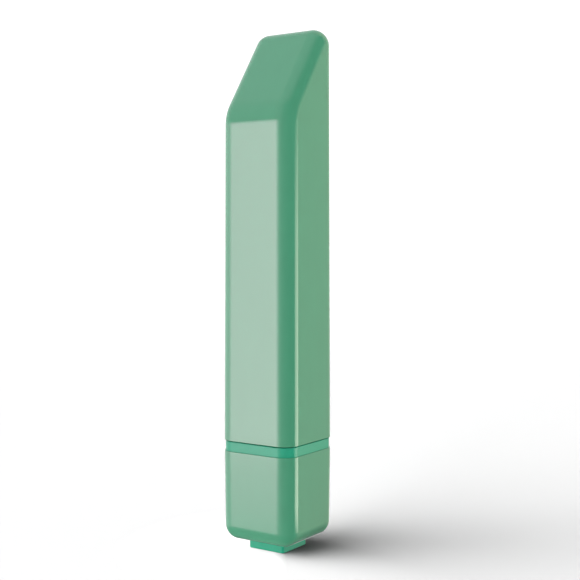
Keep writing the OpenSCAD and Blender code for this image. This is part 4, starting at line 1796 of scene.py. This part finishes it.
@dataclass
class Motor:
    """The small motor in its rubber sleeve, and the weight on its shaft."""

    wall: float = 0.5
    front_wall: float = 0.6
    front_hole_r: float = 1.6
    can_edge: float = 0.4
    sleeve_in_r: float = 5.85
    ribs: int = 8
    rib_depth: float = 0.25
    rib_shares: tuple[float, float] = (0.25, 0.35)
    bore_r: float = 0.78
    edge: float = 0.1
    weight_edge: float = 0.25
    wire_r: float = 0.15
    layers: tuple[float, float] = (1.12, 1.45)
    layer_rise: tuple[float, float] = (0.2, 0.55)
    winding_turns: int = 3

    def build(self) -> None:
        """Builds the fixed parts, then the rotor."""
        self.can()
        self.sleeve()
        for node in ("motor_front_bush", "motor_rear_bush"):
            self.bush(node)
        self.softened("motor_magnets", FERRITE, "body", "magnet_ferrite", self.edge)
        self.softened("motor_end_bell", BELL, "body", "bell_plastic", self.edge)
        self.softened("motor_brushes", COPPER, "body", "copper", self.edge / 3)
        self.shaft()
        self.softened("eccentric_weight", HEAVY, "rotor", "weight_metal", self.weight_edge)
        self.softened("armature_core", LAMINATED, "rotor", "core_steel", self.edge / 2)
        self.softened("commutator", COPPER, "rotor", "copper", self.edge / 3)
        self.windings()

    @staticmethod
    def softened(node: str, finish: Finish, body: str, slot: str, edge: float) -> None:
        """A node as it is, with its edges broken."""
        Solid.of_node(node).soften(edge).piece(node + "_part", finish, body, slot, node)

    def can(self) -> None:
        """The drawn can, open at the bell."""
        low, high = box("motor_can")
        inner = high.x - self.wall
        profile = [
            Stop(inner, low.z),
            Stop(high.x, low.z, self.edge),
            Stop(high.x, high.z, self.can_edge),
            Stop(self.front_hole_r, high.z, self.edge),
            Stop(self.front_hole_r, high.z - self.front_wall),
            Stop(inner, high.z - self.front_wall, self.edge),
        ]
        can = Solid().stack(profile, closed=True)
        can.piece("motor_can_drawn", MOTOR_STEEL, "body", "motor_steel", "motor_can")

    def sleeve(self) -> None:
        """The rubber sleeve, with ribs round it."""
        low, high = box("motor_sleeve")
        pitch = (high.z - low.z) / self.ribs
        valley = high.x - self.rib_depth
        foot, top = (share * pitch for share in self.rib_shares)
        profile = [Stop(self.sleeve_in_r, high.z), Stop(self.sleeve_in_r, low.z)]
        for rib in range(self.ribs):
            z = low.z + rib * pitch
            profile += [
                Stop(valley, z),
                Stop(valley, z + foot),
                Stop(high.x, z + top, self.edge),
                Stop(high.x, z + pitch - top, self.edge),
                Stop(valley, z + pitch - foot),
            ]
        profile.append(Stop(valley, high.z))
        sleeve = Solid().stack(profile, closed=True)
        sleeve.piece("motor_sleeve_ribbed", RUBBER, "body", "soft_rubber", "motor_sleeve")

    def bush(self, node: str) -> None:
        """One of the two bushes that the shaft runs in.

        Args:
            node: The node that it stands for.
        """
        low, high = box(node)
        corners = ((self.bore_r, low.z), (high.x, low.z), (high.x, high.z), (self.bore_r, high.z))
        bush = Solid(COARSE).stack([Stop(r, z, self.edge) for r, z in corners], closed=True)
        bush.piece(node + "_turned", BRONZE, "body", "bush_bronze", node)

    def shaft(self) -> None:
        """The ground shaft, with broken ends."""
        low, high = box("motor_shaft")
        inner = high.x / 2
        profile = [
            Stop(inner, low.z),
            Stop(high.x, low.z, self.edge),
            Stop(high.x, high.z, self.edge),
            Stop(inner, high.z),
        ]
        shaft = Solid(COARSE).stack(profile)
        shaft.piece("motor_shaft_ground", SHAFT_STEEL, "rotor", "shaft_steel", "motor_shaft")

    def windings(self) -> None:
        """Two layers of wire on each of the core's three arms."""
        low, high = box("armature_core")
        out = box("armature_windings")[1].x - self.wire_r
        first = out - 2 * self.wire_r * (self.winding_turns - 1)
        middle = (low.z + high.z) / 2
        layers = zip(("inner", "outer"), self.layers, self.layer_rise)
        for name, half, rise in layers:
            tall = high.z - low.z + 2 * rise
            width, height, corner, wire = metres(2 * half, tall, 2 * self.wire_r, self.wire_r)
            mesh = WINDING.mesh(
                bpy.data.meshes.new("winding"), ENAMELLED, Width=width, Height=height, Corner=corner,
                Wire_radius=wire, Turns=self.winding_turns, First=metres(first, 0, middle),
                Last=metres(out, 0, middle),
            )
            nodes = ("armature_windings",) if name == "outer" else ()
            placed(f"winding_{name}_layer", mesh, ENAMELLED, "rotor", "copper", *nodes)


@dataclass(frozen=True)
class FloorLight:
    """A broad soft light for the floor and the shadow on it.

    width is how wide it is, front how far it stands round from the left to the front, and rise how high it
    stands, all in degrees.
    """

    name: str
    energy: float
    width: float
    front: float
    rise: float

    def build(self, floor: bpy.types.Object, azimuth: float) -> None:
        """Sets the light up.

        Args:
            floor: The floor, which alone it lights.
            azimuth: How far the camera stands round from the front, in radians.
        """
        lamp = bpy.data.lights.new(self.name, "SUN")
        lamp.energy = self.energy
        lamp.angle = math.radians(self.width)
        made = bpy.data.objects.new(self.name, lamp)
        turn, lift = azimuth + math.radians(self.front), math.radians(self.rise)
        way = Vector((math.cos(turn) * math.cos(lift), math.sin(turn) * math.cos(lift), -math.sin(lift)))
        made.rotation_euler = way.to_track_quat("-Z", "Y").to_euler()
        bpy.context.scene.collection.objects.link(made)
        lit = bpy.data.collections.new(self.name + "_floor")
        lit.objects.link(floor)
        made.light_linking.receiver_collection = lit


@dataclass
class Studio:
    """Floor, light and camera, at the photo's viewing angle.

    The room is what the object mirrors: a tall box of light, a strip and walls. Their places are given in
    degrees round from the front to the right, and in degrees up. The fill is what lights matt faces.
    """

    eye: tuple[float, float, float] = (0.144982, -0.209066, 0.07294)
    azimuth: float = math.radians(34.0845)
    tip: float = math.radians(2.57)
    focal_px: float = 1071.35
    image_px: float = 580.0
    sensor: float = 36.0
    floor_reach: float = 40.0
    floor_drop: float = 2e-5
    lights: tuple[FloorLight, ...] = (
        FloorLight("wide", 52.2, 110.0, 10.0, 12.0),
        FloorLight("key", 14.8, 40.0, 5.0, 10.0),
        FloorLight("front", 2.6, 40.0, 30.0, 30.0),
    )
    box_peak: float = 6.7
    box_color: Color = (1.0, 0.75, 0.85)
    box_round: Levels = (
        (-180, 0), (-120, 0), (-101, 0.5), (-83, 0.8), (-72, 1.1), (-61, 1.5), (-51, 2.4), (-41.5, 4.7),
        (-37, 6.2), (-33, 6.7), (-31, 6.6), (-23, 4.7), (-15, 2.7), (-7, 1.1), (1, 0.1), (20, 0), (180, 0),
    )
    box_up: Levels = (
        (-90, 0), (-23, 0.05), (-17.3, 0.3), (-14.8, 0.57), (-12.3, 0.72), (-10.3, 1), (7, 1), (12.2, 0),
        (90, 0),
    )
    strip_peak: float = 5.4
    strip_color: Color = (1.0, 1.0, 0.83)
    strip_round: tuple[float, float, float] = (113.0, 142.8, 1.8)
    strip_up: Levels = (
        (-90, 0), (-16.3, 0), (-15, 1), (-8.3, 0.83), (-3.2, 0.74), (0.9, 0.61), (4, 0.37), (8, 0), (90, 0),
    )
    wall_peak: float = 1.1
    wall_round: Levels = (
        (-180, 1), (1, 1), (20, 0.5), (30, 0.35), (70, 0.02), (120, 0.02), (138, 1), (180, 1),
    )
    wall_up: Levels = ((-90, 0.2), (-32, 0.25), (-16.5, 1), (90, 1))
    wall_open: tuple[float, float] = (45.0, 75.0)
    warm_color: Color = (1.05, 0.97, 0.75)
    warm_round: tuple[float, float] = (120.0, 138.0)
    fill: float = 1.18
    fill_left: float = 1.3
    left_from: float = 0.45
    fill_right: float = 0.8
    right_from: float = 0.5
    front_loss: float = 0.35
    front_from: float = 0.6
    top_loss: float = 0.36
    top: tuple[float, float] = (0.2, 0.9)
    backdrop: float = 1.3

    def build(self) -> None:
        """Sets up everything around the object."""
        self.camera()
        floor = self.floor()
        for light in self.lights:
            light.build(floor, self.azimuth)
        self.room()
        bpy.context.scene.view_settings.view_transform = "Standard"

    def camera(self) -> None:
        """Puts the camera at the place, turn and tip that the photo's edges give."""
        lens = bpy.data.cameras.new("camera")
        lens.sensor_width = self.sensor
        lens.lens = self.focal_px * self.sensor / self.image_px
        made = bpy.data.objects.new("camera", lens)
        made.location = self.eye
        made.rotation_euler = (math.radians(90) - self.tip, 0, self.azimuth)
        bpy.context.scene.collection.objects.link(made)
        bpy.context.scene.camera = made

    def floor(self) -> bpy.types.Object:
        """Lays the floor, just under the button.

        Returns:
            The floor.
        """
        mesh = bpy.data.meshes.new("floor")
        corners = [(x * self.floor_reach, y * self.floor_reach, -self.floor_drop) for x, y in SIDES]
        mesh.from_pydata(corners, [], [(0, 1, 2, 3)])
        mesh.materials.append(FLOOR.material())
        made = linked("floor", mesh)
        made.visible_glossy = False
        return made

    def room(self) -> None:
        """The room: the camera sees it white, gloss mirrors its lights, and its fill lights the rest."""
        world = bpy.data.worlds.new("room")
        world.use_nodes = True
        world.cycles.sampling_method = "NONE"
        bpy.context.scene.world = world
        graph = Graph(world.node_tree)
        x, y, z = graph.split(graph.node("ShaderNodeTexCoord", out="Generated"))
        turn = x.math("ARCTAN2", x, 0.0 - y) * math.degrees(1)
        rise = z.math("ARCSINE", z) * math.degrees(1)
        path = graph.node("ShaderNodeLightPath").socket.node.outputs

        def light(color: Sock | Sequence[float], strength: Value) -> Sock:
            """A part of the room that gives light."""
            return graph.node("ShaderNodeBackground", None, {"Color": color, "Strength": strength})

        def chosen(ray: str, first: Sock, second: Sock) -> Sock:
            """The first for most rays, and the second for rays of one kind."""
            return graph.node("ShaderNodeMixShader", None, {0: Sock(graph, path[ray]), 1: first, 2: second})

        box_light = light(opaque(self.box_color), self.tall_box(graph, turn, rise))
        strip_light = light(opaque(self.strip_color), self.strip(graph, turn, rise))
        tint = graph.mix(graph.step(turn, *self.warm_round), WHITE, opaque(self.warm_color))
        wall_light = light(tint, self.walls(graph, turn, rise))
        mirrored = graph.node("ShaderNodeAddShader", None, {0: box_light, 1: strip_light})
        mirrored = graph.node("ShaderNodeAddShader", None, {0: mirrored, 1: wall_light})
        seen = chosen("Is Glossy Ray", light(WHITE, self.soft_fill(graph, x, y, z)), mirrored)
        seen = chosen("Is Camera Ray", seen, light(WHITE, self.backdrop))
        graph.node("ShaderNodeOutputWorld", None, {"Surface": seen})

    def tall_box(self, graph: Graph, turn: Sock, rise: Sock) -> Sock:
        """The box of light that the front mirrors, brightest a little to the left.

        Args:
            graph: The room's graph.
            turn: How far round a place is.
            rise: How far up it is.

        Returns:
            The box's strength there.
        """
        across = graph.ramp(turn, [(at, level / self.box_peak) for at, level in self.box_round])
        return self.box_peak * across * graph.ramp(rise, self.box_up)

    def strip(self, graph: Graph, turn: Sock, rise: Sock) -> Sock:
        """The strip that the right-hand corner mirrors, brighter towards the floor."""
        return self.strip_peak * graph.band(turn, *self.strip_round) * graph.ramp(rise, self.strip_up)

    def walls(self, graph: Graph, turn: Sock, rise: Sock) -> Sock:
        """The pale walls, which are dark on the right up to a good height.

        Args:
            graph: The room's graph.
            turn: How far round a place is.
            rise: How far up it is.

        Returns:
            The walls' strength there.
        """
        beside = graph.ramp(turn, self.wall_round)
        above = graph.step(rise, *self.wall_open)
        level = graph.ramp(rise, self.wall_up)
        return self.wall_peak * level * (1 - (1 - beside) * (1 - above))

    def soft_fill(self, graph: Graph, x: Sock, y: Sock, z: Sock) -> Sock:
        """The fill: more from the left and from the object's right, and less from the camera and above.

        Args:
            graph: The room's graph.
            x: How far a direction points to the right.
            y: How far it points to the back.
            z: How far it points up.

        Returns:
            The strength from that direction.
        """
        toward_left = x * -math.cos(self.azimuth) + y * -math.sin(self.azimuth)
        toward_camera = x * math.sin(self.azimuth) + y * -math.cos(self.azimuth)
        left, right = graph.step(toward_left, self.left_from, 1.0), graph.step(x, self.right_from, 1.0)
        sides = self.fill + self.fill_left * left + self.fill_right * right
        front = 1.0 - self.front_loss * graph.step(toward_camera, self.front_from, 1.0)
        return sides * front * (1.0 - self.top_loss * graph.step(z, *self.top))


def main() -> None:
    """Builds the sub-assemblies in order, then the studio."""
    logging.basicConfig(level=logging.INFO, format="%(name)s: %(message)s")
    for part in (Shell(), Base(), Button(), Switch(), Cell(), Chassis(), Motor(), Studio()):
        part.build()
        log.info("%s is ready", type(part).__name__)


if __name__ == "__main__":
    main()
